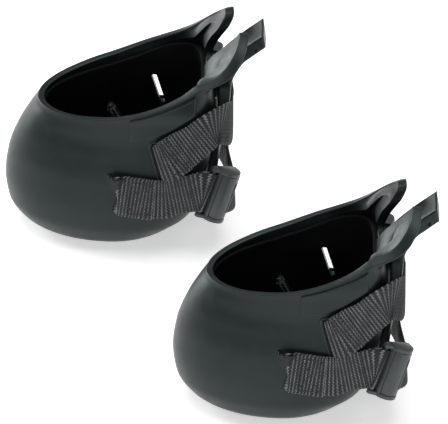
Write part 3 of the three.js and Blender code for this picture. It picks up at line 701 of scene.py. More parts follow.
def cup_skin(outside, inside):
    """Closed skin of a cup-shaped layer, from the loops of its two faces."""
    edge = rounded_edge(outside[-1], inside[-1])
    loops = outside + edge + inside[::-1]
    sole = [pulled_in(loops[0], share) for share in (0.25, 0.5, 0.72, 0.88, 0.96)]
    floor = [pulled_in(loops[-1], share) for share in (0.96, 0.88, 0.72, 0.5, 0.25)]
    return lofted(sole + loops + floor)


def pulled_in(loop, share):
    middle = loop.mean(axis=0)
    return middle + (loop - middle) * share


def rounded_edge(outside, inside, reach=EDGE, squareness=4.5, steps=9):
    """Loops over the edge between two faces: nearly flat, with rounded corners."""
    tangent = unit(np.roll(outside, -1, axis=0) - np.roll(outside, 1, axis=0))
    through = inside - outside
    away = unit(np.cross(tangent, through))
    away = away * (-1 if away[:, 2].mean() < 0 else 1)
    middle = (outside + inside) / 2
    loops = []
    for turn in np.linspace(0, math.pi, steps + 2)[1:-1]:
        c, s = math.cos(turn), math.sin(turn)
        along = math.copysign(abs(c) ** (2 / squareness), c)
        rise = s ** (2 / squareness)
        loops.append(middle - through / 2 * along + away * reach * rise)
    return loops


def slot_frame(slot, side):
    """A slot's middle, the way it runs and the way through the wall, inwards."""
    x, z, lean, length = slot

    def end(k):
        place_x = x + k * lean / 2
        place_z = z - k * length / 2
        return np.array([place_x, side * float(cup_half(place_x, place_z)), place_z])

    run = unit(end(-1) - end(1))
    slope = side * float(cup_half(x + 1, z) - cup_half(x, z))
    through = unit(np.cross((1, slope, 0), run))
    if through[1] * side > 0:
        through = -through
    return end(0), run, through


def stadium(width, length, steps=10):
    """Outline of a slot: points (along, across)."""
    reach = (length - width) / 2
    turn = np.linspace(-math.pi / 2, math.pi / 2, steps)
    right = [(reach + width / 2 * math.cos(t), width / 2 * math.sin(t)) for t in turn]
    left = [(-a, -b) for a, b in right]
    return np.array(right + left)


def slot_cutter(slot, side, grow=0.0):
    middle, run, through = slot_frame(slot, side)
    across = np.cross(through, run)
    outline = stadium(SLOT_W + grow, slot[3] + grow)
    ring = middle + outline[:, :1] * run + outline[:, 1:] * across
    return lofted([ring - through * 15, ring + through * 25])


SLOTS = [(LOWER_SLOT, -1), (UPPER_SLOT, -1), (LOWER_SLOT, 1), (UPPER_SLOT, 1)]


def crease_at(angle, tops):
    """Height of the crease where the inner face starts to flare, below each column's top."""
    height = smooth_table(*CREASE.T, np.abs(angle))
    return np.minimum(height, tops - 3)


def shell(side):
    columns = both_sides(rim_columns(1), rim_columns(-1))
    tops = columns[:, 2]
    outside = wall_loops(columns, lambda a, z: 0.0, 0.0, [tops * s for s in shares_up(52)])
    crease = crease_at(columns[:, 1], tops)
    flare = tops - crease
    room = np.clip((flare - 4) / 9, 0, 1) * np.clip((149 - np.abs(columns[:, 0])) / 8, 0, 1)

    def inset(angle, z):
        above = np.clip((tops - z) / flare, 0, 1)
        below = np.clip((crease - z) / 2.5, 0, 1)
        return wall_at(z) + OVERHANG * room * above * (1 - below)

    heights = [crease * s for s in shares_up(44) * 0.985]
    heights += [crease - 1.0, crease, crease + flare * 0.04]
    heights += [crease + flare * s for s in np.linspace(0.12, 1, 10)]
    inside = wall_loops(columns, inset, SOLE_T, heights)
    points, faces = cup_skin(outside, inside)
    piece = new_piece(f"{side}_moulded_cup", points, faces, side)
    cut_out(piece, [slot_cutter(slot, edge) for slot, edge in SLOTS])
    return finish_piece(piece, side, "moulded_rubber", ["shell"])


def liner_columns():
    angles = np.linspace(0, 180, 110)
    tops = np.minimum(rim_at(angles) - 4.5, smooth_table(*CREASE.T, angles) - 3)
    low_back = 152.0
    soft = 3.0
    tops = -soft * np.log(np.exp(-tops / soft) + np.exp(-low_back / soft))
    return np.stack([angles, angles, tops], 1)


def liner(side):
    def start(angle, z):
        return wall_at(z) + LINER_GAP

    def face(angle, z):
        return start(angle, z) + LINER_T

    columns = liner_columns()
    columns = both_sides(columns, columns * np.array([-1, -1, 1]))
    heights = [columns[:, 2] * s for s in shares_up(36)]
    outside = wall_loops(columns, start, SOLE_T + LINER_GAP, heights)
    inside = wall_loops(columns, face, SOLE_T + LINER_GAP + LINER_FLOOR, heights)
    points, faces = cup_skin(outside, inside)
    piece = new_piece(f"{side}_lining", points, faces, side)
    cut_out(piece, [slot_cutter(slot, edge, 6.5) for slot, edge in SLOTS])
    return finish_piece(piece, side, "sponge_rubber", ["foam_liner"])


def knee_cushion(side):
    """The block that the knee rests on: an oval crowned pad with a sewn ring and channels."""
    floor = SOLE_T + LINER_GAP + LINER_FLOOR + CUSHION["gap"]
    clear = WALL_T + LINER_GAP + LINER_T + CUSHION["clear"]
    count = 160
    turn = np.linspace(-180, 180, count, endpoint=False)
    high = CUSHION["side"]
    below = [(1, 0), (6, 6), (11, 11), (high, high)]
    loops = [pulled_in(cup_points(turn, 1, clear, floor), s) for s in (0.3, 0.6, 0.85)]
    loops += [cup_points(turn, plan, clear, floor + rise) for plan, rise in below]
    widest = cup_points(turn, high, clear, floor + high)
    middle = widest.mean(axis=0)
    for share in np.linspace(0.99, 0.02, 40):
        loop = middle + (widest - middle) * share
        crown = CUSHION["crown"] * (1 - share**4) ** 0.6
        ring = math.exp(-(((share - 0.7) / 0.035) ** 2))
        inside = share < 0.7
        across = (loop[:, 0] - middle[0]) / CUSHION["pitch"] % 1
        channels = np.exp(-((across - 0.5) / 0.09) ** 2)
        dip = CUSHION["ring"] * ring + (CUSHION["channel"] * channels if inside else 0)
        loop[:, 2] = floor + high + crown - dip * min(1, (1 - share) * 6)
        loops.append(loop)
    piece = add_piece(side, "cushion", lofted(loops), "sponge_rubber", ["knee_cushion"])


BAND_EDGE = np.array([0, 0.12, 0.3, 0.6, 0.95, 1.4])  # rows over the band's rounded edge


def rim_band(side, edge):
    """A raised reinforcing band below the rim, on one side wall."""
    low_edge = np.array([(21, 120), (46, 126), (61, 134), (75, 144), (87, 153)])
    between = np.linspace(BAND_FROM + 2, BAND_TO - 2, 76)
    xs = np.concatenate([BAND_FROM + BAND_EDGE, between, BAND_TO - BAND_EDGE[::-1]])
    low = smooth_table(*low_edge.T, xs)
    angle = np.degrees(np.arctan2(cup_half(xs, 150), cup_at("mid", 150) - xs))
    high = rim_at(angle) - 3.5
    middle = np.linspace(2, 0, 12) * 0.5
    z = np.concatenate([
        low[:, None] + BAND_EDGE, low[:, None] + 2 + (high - low - 4)[:, None] * middle[::-1],
        high[:, None] - BAND_EDGE[::-1],
    ], axis=1)
    x = np.repeat(xs[:, None], z.shape[1], axis=1)
    ends = np.minimum(x - xs[0], xs[-1] - x)
    sides = np.minimum(z - low[:, None], high[:, None] - z)
    from_edge = np.clip(np.minimum(ends, sides) / 0.9, 0, 1)
    raised = BAND_RAISED * np.sqrt(1 - (1 - from_edge) ** 2)
    name = "near" if edge < 0 else "far"
    front = np.stack([x, edge * (cup_half(x, z) + raised), z], -1)
    back = np.stack([x, edge * (cup_half(x, z) - 0.6), z], -1)
    loops = [np.concatenate([f, b[::-1]]) for f, b in zip(front, back)]
    skin = lofted(loops)
    node = f"{name}_rim_band"
    add_piece(side, f"{name}_band", skin, "moulded_rubber", [node], smooth_angle=50)


def slot_lip(side, slot, edge, name):
    """A low raised lip round a strap slot."""
    middle, run, through = slot_frame(slot, edge)
    across = np.cross(through, run)
    profile = [(0.2, -0.8), (0.35, 0.7), (0.9, 1.25), (1.7, 1.3), (2.5, 0.8), (3.1, -0.8)]
    loops = []
    for out, rise in profile:
        outline = stadium(SLOT_W + 2 * out, slot[3] + 2 * out, 16)
        ring = middle + outline[:, :1] * run + outline[:, 1:] * across
        ring[:, 1] = edge * (cup_half(ring[:, 0], ring[:, 2]) + rise)
        loops.append(ring)
    skin = lofted([*loops, loops[0]], capped=False)
    add_piece(side, f"{name}_slot_lip", skin, "moulded_rubber")


def tongue_and_panel(side):
    """One thick slab: the panel behind the cup and the tongue that stands behind the notch."""
    table = np.array(PANEL, float)
    faces_at = through_points(table, 3.0)
    inner = faces_at[:, [0, 1]]
    outer = faces_at[:, [2, 3]]
    z_mid = (inner[:, 1] + outer[:, 1]) / 2
    narrowing = np.clip((z_mid - 126) / 26, 0, 1)
    narrowing = narrowing * narrowing * (3 - 2 * narrowing)
    half = PANEL_HALF + (TONGUE_HALF - PANEL_HALF) * narrowing
    bow = 2.5 + (0.5 - 2.5) * narrowing
    turn = np.linspace(0, 2 * math.pi, 72, endpoint=False)

    def section(i, shrink):
        thick = np.linalg.norm(outer[i] - inner[i])
        square_y = 2 / 14
        square_t = 2 / 5
        a = np.sign(np.cos(turn)) * np.abs(np.cos(turn)) ** square_y
        b = np.sign(np.sin(turn)) * np.abs(np.sin(turn)) ** square_t
        a = a * (1 - shrink / half[i])
        b = b * (1 - shrink / thick * 2)
        centre = (inner[i] + outer[i]) / 2
        reach = (outer[i] - inner[i]) / 2
        x = centre[0] + reach[0] * b - bow[i] * a * a
        z = centre[1] + reach[1] * b
        return np.stack([x, half[i] * a, z], -1)

    last = len(faces_at) - 1
    loops = [section(i, 0.0) for i in range(last + 1)]
    soft = 2.0
    # Known flaw: the second turn meets a list that is five loops longer, so it draws back a loop
    # below the tip instead of the tip's own, and the tip folds in over its rounding.
    for end, near, order in ((0, 1, 1), (last, last - 1, -1)):
        travel = faces_at[end] - faces_at[near]
        travel = np.array([travel[0] + travel[2], 0, travel[1] + travel[3]]) / 2
        travel = travel / np.linalg.norm(travel)
        caps = []
        for t in np.linspace(0.2, 1, 5) * math.pi / 2:
            loop = section(end, soft * (1 - math.cos(t)))
            caps.append(loop + travel * soft * (math.sin(t) - 1))
        loops[end] = loops[end] - travel * soft
        loops = caps[::-1] + loops if order > 0 else loops + caps
    nodes = ["back_panel", "back_tongue"]
    piece = add_piece(side, "back_slab", lofted(loops), "moulded_rubber", nodes, body=None)
    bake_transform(piece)


# ---- webbing ----------------------------------------------------------------------------------

def station(x, y, z, lean=0.0, width=STRAP_W, thickness=STRAP_T, slant=0.0):
    return np.array([x, y, z, slant, lean, 1, width, thickness], float)


def on_wall(side, x, z, slant=0.0, gap=STRAP_GAP):
    """A place on the side wall; slant is how much the strap's width leans forward."""
    reach = float(cup_half(x, z)) + gap + FOLD_T / 2
    lean = float(cup_half(x, z + 10) - cup_half(x, z - 10)) / 20
    return station(x, side * reach, z, side * lean, STRAP_W, FOLD_T, slant)


def through_slot(slot, side):
    """Stations from the keeper bar inside the cup out through a slot."""
    middle, run, through = slot_frame(slot, side)
    depths = (KEEPER_DEPTH, KEEPER_DEPTH - 5.5, 3.0, -0.4, -2.8)
    return [
        np.array([*(middle + through * depth), *run, slot[3] - SLOT_PLAY, FOLD_T])
        for depth in depths
    ]


def buckle_axes(buckle):
    """A buckle's middle and its axes: along the strap, across it, and away from the leg."""
    turn = math.radians(buckle["turn"])
    lean = math.radians(buckle["lean"])
    flat = np.array([math.cos(turn), -buckle["side"] * math.sin(turn), 0])
    x = flat * math.cos(lean)
    x[2] = -math.sin(lean)
    z = np.array([math.sin(turn), buckle["side"] * math.cos(turn), 0])
    return np.array(buckle["at"], float), x, np.cross(z, x), z


def in_buckle(buckle, x, z, thickness=STRAP_T, width=STRAP_W):
    at, ax, ay, az = buckle_axes(buckle)
    up = ay if ay[2] > 0 else -ay
    return np.array([*(at + ax * x + az * z), *up, width, thickness])


class Strap:
    """The line a strap follows: its inner face, the way its width lies and the way out."""

    def __init__(self, stations):
        dense = through_points(np.array(stations), 0.5)
        at = dense[:, :3]
        run = unit(np.gradient(at, axis=0))
        up = dense[:, 3:6]
        up = unit(up - run * (up * run).sum(axis=1, keepdims=True))
        self.out = unit(np.cross(run, up))
        self.up = up
        self.run = run
        self.width = dense[:, 6]
        self.at = at - self.out * dense[:, 7:8] / 2
        self.place = lengths_along(self.at)
        self.length = self.place[-1]

    def _value(self, column, s):
        return np.interp(s, self.place, column)

    def frame(self, s):
        s = np.asarray(s, float)
        rows = [np.stack([self._value(a[:, k], s) for k in range(3)], -1)
                for a in (self.at, self.up, self.out, self.run)]
        at, up, out, run = rows
        over = (s - np.clip(s, 0, self.length))[..., None]
        return at + unit(run) * over, unit(up), unit(out), self._value(self.width, s)

    def point(self, s, across, height):
        at, up, out, _ = self.frame(s)
        return at + up * np.asarray(across)[..., None] + out * np.asarray(height)[..., None]


LAYER = STRAP_T / 2
INNER_LAYER = 0.85
OUTER_LAYER = 2.6
BAR_HEIGHT = FOLD_T / 2
BACK_FLAP = 14  # from a buckle's bar to the end of the webbing folded round it
SEWN_HALF = 16  # half the width of a sewn box
ROW_HALF = 17
LOWER_FLAP_X = 42
LOWER_SEWN_X = 20
UPPER_FLAP_X = 66


def round_bar(s, radius, way):
    """Places (s, height) of webbing that comes in on the outer layer, turns round a bar and
    leaves on the inner one. way is +1 when the strap lies at larger s."""
    reach = radius + LAYER + 0.15
    turns = np.radians([80, 115, 150, 180, 210, 245, 280])
    bend = [(s + way * reach * math.cos(t), BAR_HEIGHT + reach * math.sin(t)) for t in turns]
    lead = [(s + way * 11, OUTER_LAYER), (s + way * 7.5, OUTER_LAYER + 0.25)]
    tail = [(s + way * 7.5, INNER_LAYER - 0.25), (s + way * 11, INNER_LAYER)]
    return lead + bend + tail


def webbing(side, strap, path, name):
    """A woven strip that follows (s, height) places along a strap's line."""
    path = through_points(np.array(path), 0.6)
    at, up, out, width = strap.frame(path[:, 0])
    centre = at + out * path[:, 1:]
    run = unit(np.gradient(centre, axis=0))
    up = unit(up - run * (up * run).sum(axis=1, keepdims=True))
    out = np.cross(run, up)
    length = lengths_along(centre)
    ends = np.minimum(length, length[-1] - length)
    shares = np.sin(np.linspace(-1, 1, 15) * math.pi / 2)
    body = (1 - np.abs(shares) ** 10) ** 0.5
    rib = RIB * np.cos(length * math.tau / WEAVE_PITCH)
    thick = LAYER * np.clip(0.55 + ends, 0, 1)
    skin = thick[:, None] * (0.35 + 0.65 * body)
    top = skin + rib[:, None] * body
    low = -skin + rib[:, None] * body
    half = width[:, None] / 2 * shares
    loops = []
    for k in range(len(path)):
        flat = centre[k] + half[k][:, None] * up[k]
        upper = flat + top[k][:, None] * out[k]
        lower = flat + low[k][:, None] * out[k]
        loops.append(np.concatenate([upper, lower[::-1]]))
    points, faces = lofted(loops)
    across = np.concatenate([shares, shares[::-1]]) * STRAP_W / 2
    uvs = [(u, v) for u in length for v in across] + [(0, 0), (length[-1], 0)]
    piece = new_piece(f"{side}_{name}_webbing", points, faces, side, uvs)
    finish_piece(piece, side, "webbing", [f"{name}_strap"])


def stitches(strap, lines, height, pitch=3.4, long=2.5, radius=0.42):
    """Thread stitches along lines of (s, across) places on a strap."""
    made = []
    for start, end in lines:
        start, end = np.array(start, float), np.array(end, float)
        count = max(int(np.linalg.norm(end - start) / pitch), 1)
        way = (end - start) / np.linalg.norm(end - start)
        for k in range(count):
            middle = start + (end - start) * (k + 0.5) / count
            ends = [middle + way * long * share for share in (-0.5, -0.25, 0, 0.25, 0.5)]
            heights = [height - 0.3, height + 0.12, height + 0.2, height + 0.12, height - 0.3]
            line = [strap.point(s, np.array(c), np.array(h)) for (s, c), h in zip(ends, heights)]
            made.append(thread(line, radius))
    return merged(made)


def thread(line, radius, steps=6):
    line = np.array(line)
    run = unit(np.gradient(line, axis=0))
    turn = np.linspace(0, math.tau, steps, endpoint=False)
    loops = []
    for k, at in enumerate(line):
        a = unit(np.cross(run[k], (0.21, 0.53, 0.82)))
        b = np.cross(run[k], a)
        size = radius * (0.6 if k in (0, len(line) - 1) else 1.0)
        loops.append(at + size * (np.cos(turn)[:, None] * a + np.sin(turn)[:, None] * b))
    return lofted(loops)


def box_and_cross(s_from, s_to, half):
    """A sewn box with a cross in it."""
    corners = [(s_from, -half), (s_to, -half), (s_to, half), (s_from, half)]
    sides = [(corners[i], corners[(i + 1) % 4]) for i in range(4)]
    return sides + [(corners[0], corners[2]), (corners[1], corners[3])]


def place_of(strap, x, side):
    """Where along a strap's line it passes a given x on one side of the pad."""
    on_side = np.where(strap.at[:, 1] * side > 20, np.abs(strap.at[:, 0] - x), 1e9)
    return strap.place[int(on_side.argmin())]


def sew(side, strap, name, lines, height):
    skin = stitches(strap, lines, height)
    add_piece(side, f"{name}_stitching", skin, "webbing", material="thread")


def bar_place(strap, buckle, first):
    """Where a strap's line meets a buckle's bar."""
    at, ax, _, az = buckle_axes(buckle)
    bar = at + ax * BAR[0] + az * BAR[1]
    end = strap.at[0 if first else -1]
    run = strap.run[0 if first else -1]
    ahead = float(np.dot(bar - end, run))
    return ahead if first else strap.length + ahead


# Where a lower strap leaves its slanted slot and turns upright: x, z and slant.
SLANTED = [(20, 68, -0.36), (28, 66.8, -0.25), (36, 65.4, -0.12), (45, 64.6, -0.02)]


def lower_anchor_strap(side):
    places = [*SLANTED, (54, 64.6, 0.06), (64, 66.2, 0.16)]
    run = [on_wall(-1, *place) for place in places]
    eye = [in_buckle(LOWER_BUCKLE, BAR[0] + x, BAR[1], FOLD_T, STRAP_W - 2) for x in (-4, 0)]
    strap = Strap([*through_slot(LOWER_SLOT, -1), *run, *eye])
    flap = place_of(strap, LOWER_FLAP_X, -1)
    bar = bar_place(strap, LOWER_BUCKLE, False)
    back_flap = bar - BACK_FLAP
    path = [(flap, OUTER_LAYER), (flap - 10, OUTER_LAYER), *round_bar(0, KEEPER_R, 1)]
    path += [(s, INNER_LAYER) for s in np.arange(22, back_flap, 8)]
    path += [*reversed(round_bar(bar, BAR[2], -1)), (back_flap, OUTER_LAYER)]
    webbing(side, strap, path, "lower_anchor")
    top = OUTER_LAYER + LAYER
    start = place_of(strap, LOWER_SEWN_X, -1)
    lines = box_and_cross(start, flap - 3, SEWN_HALF)
    sew(side, strap, "lower_anchor", lines, top)
    rows = [((back_flap + k, -ROW_HALF), (back_flap + k, ROW_HALF)) for k in (2, 5)]
    sew(side, strap, "lower_anchor_end", rows, top)


def lower_strap(side):
    inside = [in_buckle(LOWER_BUCKLE, x, STRAP_IN_BUCKLE_Z, FOLD_T) for x in (-9, 0, 11, 16)]
    round_back = [
        (115, -36, 53.5), (113, -22, 51.5), (110, 0, 52), (108, 20, 54), (103, 36, 57),
    ]
    round_back = [station(*p, 0, STRAP_W, FOLD_T) for p in round_back]
    round_back += [
        station(96, 48, 60, -0.05, STRAP_W, FOLD_T), station(86, 58, 62, -0.1, STRAP_W, FOLD_T),
    ]
    places = [(70, 63, 0), (58, 63, 0), *SLANTED[::-1]]
    run = [on_wall(1, *place) for place in places]
    strap = Strap([*inside, *round_back, *run, *through_slot(LOWER_SLOT, 1)[::-1]])
    flap = place_of(strap, LOWER_FLAP_X, 1)
    keeper = strap.length
    path = [(s, INNER_LAYER) for s in np.arange(0, keeper - 22, 8)]
    path += [*reversed(round_bar(keeper, KEEPER_R, -1)), (flap + 10, OUTER_LAYER)]
    path += [(flap, OUTER_LAYER)]
    webbing(side, strap, path, "lower")
    lines = box_and_cross(flap + 3, place_of(strap, LOWER_SEWN_X, 1), SEWN_HALF)
    sew(side, strap, "lower", lines, OUTER_LAYER + LAYER)


def upper_strap(side):
    places = [(55, 104), (61, 108), (66, 111.5), (75, 117), (83, 122)]
    run = [on_wall(-1, x, z, 0, UPPER_GAP) for x, z in places]
    round_back = [
        (94, -58, 129), (102.5, -50, 130), (109, -38, 124), (112.5, -22, 114), (113.5, 0, 108),
        (113.5, 14, 109), (112, 28, 114),
    ]
    round_back = [station(*p, 0, STRAP_W, FOLD_T) for p in round_back]
    inside = [in_buckle(UPPER_BUCKLE, x, STRAP_IN_BUCKLE_Z, FOLD_T) for x in (18, 12, 0, -9)]
    strap = Strap([*through_slot(UPPER_SLOT, -1), *run, *round_back, *inside])
    flap = place_of(strap, UPPER_FLAP_X, -1)
    path = [(flap, OUTER_LAYER), (flap - 8, OUTER_LAYER), *round_bar(0, KEEPER_R, 1)]
    path += [(s, INNER_LAYER) for s in np.arange(22, strap.length, 8)]
    webbing(side, strap, path, "upper")
    lines = box_and_cross(flap - 14, flap - 2, SEWN_HALF)
    sew(side, strap, "upper", lines, OUTER_LAYER + LAYER)


def upper_anchor_strap(side):
    places = [(66, 112), (59, 108.5), (53, 105.5)]
    run = [on_wall(1, x, z, 0, UPPER_GAP) for x, z in places]
    eye = [in_buckle(UPPER_BUCKLE, BAR[0] + x, BAR[1], FOLD_T, STRAP_W - 2) for x in (0, -5, -11)]
    strap = Strap([*eye, *run])
    bar = bar_place(strap, UPPER_BUCKLE, True)
    path = [(bar + BACK_FLAP, OUTER_LAYER), *round_bar(bar, BAR[2], 1)]
    path += [(s, INNER_LAYER) for s in np.linspace(bar + 15, strap.length, 5)]
    webbing(side, strap, path, "upper_anchor")
    rows = [((bar + 12 - k, -ROW_HALF), (bar + 12 - k, ROW_HALF)) for k in (0, 3)]
    sew(side, strap, "upper_anchor_end", rows, OUTER_LAYER + LAYER)


def keepers(side):
    for name, slot, edge in (
        ("lower_near", LOWER_SLOT, -1),
        ("lower_far", LOWER_SLOT, 1),
        ("upper_near", UPPER_SLOT, -1),
    ):
        middle, run, through = slot_frame(slot, edge)
        centre = middle + through * KEEPER_DEPTH
        reach = run * (slot[3] + KEEPER_EXTRA) / 2
        skin = rod(centre - reach, centre + reach, KEEPER_R)
        node = f"{name}_keeper"
        add_piece(side, f"{name}_bar", skin, "rivet_steel", [node], smooth_angle=40)


# ---- buckles ----------------------------------------------------------------------------------

def prism(profile, y_from, y_to):
    """A profile in X and Z, pushed along Y."""
    profile = np.array(profile, float)
    count = len(profile)
    flat = [np.insert(profile, 1, y, axis=1) for y in (y_from, y_to)]
    points = [p for loop in flat for p in loop]
    faces = loop_faces(2, count)
    faces += [tuple(range(count)), tuple(range(2 * count - 1, count - 1, -1))]
    return points, faces


def arc(cx, cz, rx, rz, start, end, steps):
    turns = np.radians(np.linspace(start, end, steps))
    return [(cx + rx * math.cos(t), cz + rz * math.sin(t)) for t in turns]


def buckle_piece(buckle, parts, side, name, bevel, nodes, body="pad", slot="buckle_plastic"):
    """A piece drawn in a buckle's own frame, put where the buckle is."""
    at, ax, ay, az = buckle_axes(buckle)
    turn = np.stack([ax, ay, az])
    points, faces = merged(parts)
    points = at + np.array(points) @ turn
    piece = new_piece(f"{side}_{name}", points, faces, side, None, 40)
    if bevel:
        softened(piece, bevel)
    return finish_piece(piece, side, slot, nodes, body)


def buckle_frame_parts():
    half = BUCKLE["length"] / 2
    inner = half - BUCKLE["cheek"]
    reach = BUCKLE["depth"] / 2
    top = BUCKLE["height"] - reach
    cheek = [(-reach, 0), (reach, 0), (reach, top), *arc(0, top, reach, reach, 6, 174, 25)]
    cheek += [(-reach, top)]
    bar_x, bar_z, bar_r = BAR
    nose = arc(bar_x, bar_z, 3.3, 3.3, 90, 270, 13)
    arm = [(-8, 0.4), (-8, 9.5), (-11, 9.0), *nose]
    parts = []
    for end in (-1, 1):
        low, high = sorted((end * inner, end * half))
        parts += [prism(cheek, low, high), prism(arm, low + 0.25, high - 0.25)]
    floor = [(-reach + 0.3, 0.3), (reach - 0.3, 0.3)]
    floor += [(reach - 0.3, BUCKLE["floor"]), (-reach + 0.3, BUCKLE["floor"])]
    thin = reach - 0.8
    cover = [(-reach, 5.4), *arc(0, top, reach, reach, 180, 150, 8)]
    cover += [*arc(0, top, thin, thin, 150, 180, 8), (-thin, 5.4)]
    parts += [prism(floor, -inner - 0.8, inner + 0.8), prism(cover, -inner - 0.8, inner + 0.8)]
    return parts


def buckle_bar_parts():
    inner = BUCKLE["length"] / 2 - BUCKLE["cheek"]
    x, z, radius = BAR
    return [rod((x, -inner - 0.8, z), (x, inner + 0.8, z), radius)]


def lever_parts():
    inner = BUCKLE["length"] / 2 - BUCKLE["cheek"] - FIT
    reach = BUCKLE["depth"] / 2 - 0.2
    top = BUCKLE["height"] - BUCKLE["depth"] / 2
    x, z, _ = PIN
    outline = [(x + 5, 5.7), (reach - 1.0, 5.7)]
    outline += arc(0, top, reach, reach, 3, 112, 24)
    outline += arc(x, z, NOSE_R, NOSE_R, 132, 268, 16)
    grips = []
    for k in range(5):
        turn = math.radians(10 + k * 11)
        at_x = (reach + 0.1) * math.cos(turn)
        at_z = top + (reach + 0.1) * math.sin(turn)
        grips.append(rod((at_x, -inner + 6, at_z), (at_x, inner - 6, at_z), 0.7, 12))
    return [prism(outline, -inner, inner)], grips


def buckle(side, level, place):
    frame_name = f"{level}_buckle_frame"
    buckle_piece(place, buckle_frame_parts(), side, f"{level}_buckle_body", 0.45, [frame_name])
    buckle_piece(place, buckle_bar_parts(), side, f"{level}_buckle_bar", 0, [])
    body, grips = lever_parts()
    lever = f"{level}_lever"
    buckle_piece(place, body, side, f"{level}_cam_lever", 0.4, [f"{level}_buckle_lever"], lever)
    buckle_piece(place, grips, side, f"{level}_lever_grips", 0, [], lever)
    half = BUCKLE["length"] / 2 - 0.5
    x, z, radius = PIN
    pin = [rod((x, -half, z), (x, half, z), radius)]
    buckle_piece(
        place, pin, side, f"{level}_cam_pin", 0, [f"{level}_buckle_pin"], slot="rivet_steel"
    )


# ---- rivets -----------------------------------------------------------------------------------

def rivet_axis(x, z):
    lengthwise = float(cup_half(x + 3, z) - cup_half(x - 3, z)) / 6
    rising = float(cup_half(x, z + 5) - cup_half(x, z - 5)) / 10
    return np.array([x, float(cup_half(x, z)), z]), unit((-lengthwise, 1, -rising))


def rivet_profile(inside, outside):
    """A domed head on the inside and a shank that is spread a little at its outer end."""
    turns = np.linspace(0.02, 1.5, 10)
    dome = [(4.5 * math.sin(t), -inside - 0.3 - 1.6 * math.cos(t)) for t in turns]
    rest = [(4.5, -inside), (2.0, -inside), (2.0, outside - 0.8), (2.7, outside - 0.5)]
    return dome + rest + [(2.5, outside - 0.1), (1.6, outside), (0.8, outside - 0.5)]


def turned(side, name, profile, at, out, node):
    """A steel piece turned round an axis."""
    skin = lathe(profile, at, out)
    add_piece(side, name, skin, "rivet_steel", [node], smooth_angle=50)


def rivets(side):
    for name, (x, z, stand) in RIVETS.items():
        at, out = rivet_axis(x, z)
        profile = rivet_profile(float(wall_at(z)) + 1.2, stand + 1.4)
        turned(side, f"{name}_domed_rivet", profile, at, out, f"{name}_rivet")
        profile = [(2.3, stand), (4.7, stand), (5.0, stand + 0.3), (4.8, stand + 0.8)]
        profile += [(3.2, stand + 1.0), (2.3, stand + 0.9)]
        turned(side, f"{name}_rivet_washer", profile, at, out, f"{name}_washer")
    heel_x = float(cup_at("back", HEEL_RIVET_Z))
    profile = rivet_profile(float(wall_at(HEEL_RIVET_Z)) + 5.2, 14)
    for name, edge in (("near", -1), ("far", 1)):
        at = np.array([heel_x, edge * HEEL_RIVET_Y, HEEL_RIVET_Z])
        turned(side, f"{name}_heel_fastener", profile, at, (1, 0, 0), f"{name}_heel_rivet")


# ---- the pair ---------------------------------------------------------------------------------

def knee_pad(side):
    shell(side)
    liner(side)
    knee_cushion(side)
    for edge in (-1, 1):
        rim_band(side, edge)
    for name, slot, edge in (
        ("upper_near", UPPER_SLOT, -1), ("lower_far", LOWER_SLOT, 1), ("upper_far", UPPER_SLOT, 1),
    ):
        slot_lip(side, slot, edge, name)
    tongue_and_panel(side)
    lower_anchor_strap(side)
    lower_strap(side)
    upper_strap(side)
    upper_anchor_strap(side)
    keepers(side)
    buckle(side, "lower", LOWER_BUCKLE)
    buckle(side, "upper", UPPER_BUCKLE)
    rivets(side)


# ---- floor, light and camera ------------------------------------------------------------------

FLOOR_GLOW = 0.52  # keeps the floor pale without lighting the pads from all round


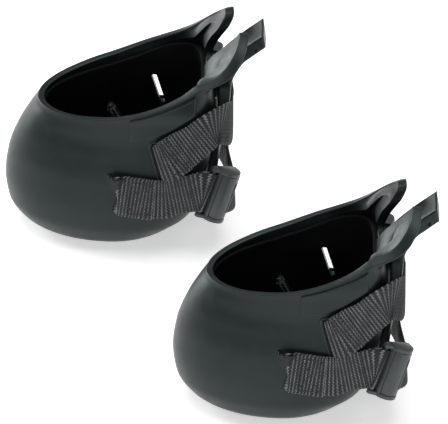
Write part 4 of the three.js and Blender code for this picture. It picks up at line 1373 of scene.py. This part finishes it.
def floor():
    mesh = bpy.data.meshes.new("floor")
    mesh.from_pydata([(-6, -6, 0), (6, -6, 0), (6, 10, 0), (-6, 10, 0)], [], [(0, 1, 2, 3)])
    ground = bpy.data.objects.new("floor", mesh)
    bpy.context.collection.objects.link(ground)
    material, shader = new_material("pale floor", 0.9, specular=0.2)
    where = object_coordinates(material)
    shade = ramp(material, noise(material, where, 3.0), [(0.3, 0.9), (0.7, 0.93)])
    link(material, shade, shader.inputs["Base Color"])
    shader.inputs["Emission Color"].default_value = (1, 1, 1, 1)
    shader.inputs["Emission Strength"].default_value = FLOOR_GLOW
    mesh.materials.append(material)


def area_light(name, at, target, size, power):
    light = bpy.data.lights.new(name, "AREA")
    light.shape = "RECTANGLE"
    light.size, light.size_y = size
    light.energy = power
    holder = bpy.data.objects.new(name, light)
    holder.location = at
    holder.rotation_mode = "QUATERNION"
    holder.rotation_quaternion = (Vector(target) - Vector(at)).to_track_quat("-Z", "Y")
    bpy.context.collection.objects.link(holder)


def lights():
    area_light("overhead softbox", (0.0, 0.2, 3.0), (0, 0, 0), (3.2, 3.2), 85)
    area_light("back left softbox", (-2.2, 1.7, 0.9), (0, 0, 0.12), (1.6, 1.3), 60)
    area_light("front fill", (0.5, -2.6, 1.6), (0, 0, 0.1), (1.2, 1.0), 12)
    world = bpy.data.worlds.new("pale studio")
    world.use_nodes = True
    world.node_tree.nodes["Background"].inputs["Color"].default_value = (1, 1, 1, 1)
    world.node_tree.nodes["Background"].inputs["Strength"].default_value = 0.18
    bpy.context.scene.world = world
    bpy.context.scene.view_settings.view_transform = "Standard"


ELEVATION = 33.0
PIXELS_PER_MM = 1.12
DISTANCE = 12.0
IMAGE_WIDTH = 448
SENSOR = 36.0
TARGET = (0.0038, 0.0, 0.097)


def camera():
    data = bpy.data.cameras.new("camera")
    data.sensor_width = SENSOR
    data.lens = PIXELS_PER_MM * DISTANCE * 1000 / IMAGE_WIDTH * SENSOR
    holder = bpy.data.objects.new("camera", data)
    rise = math.radians(ELEVATION)
    back = Vector((0, -math.cos(rise), math.sin(rise)))
    holder.location = Vector(TARGET) + back * DISTANCE
    holder.rotation_mode = "QUATERNION"
    holder.rotation_quaternion = (-back).to_track_quat("-Z", "Y")
    data.clip_end = 60
    bpy.context.collection.objects.link(holder)
    bpy.context.scene.camera = holder


for pad_side in PADS:
    knee_pad(pad_side)
floor()
lights()
camera()
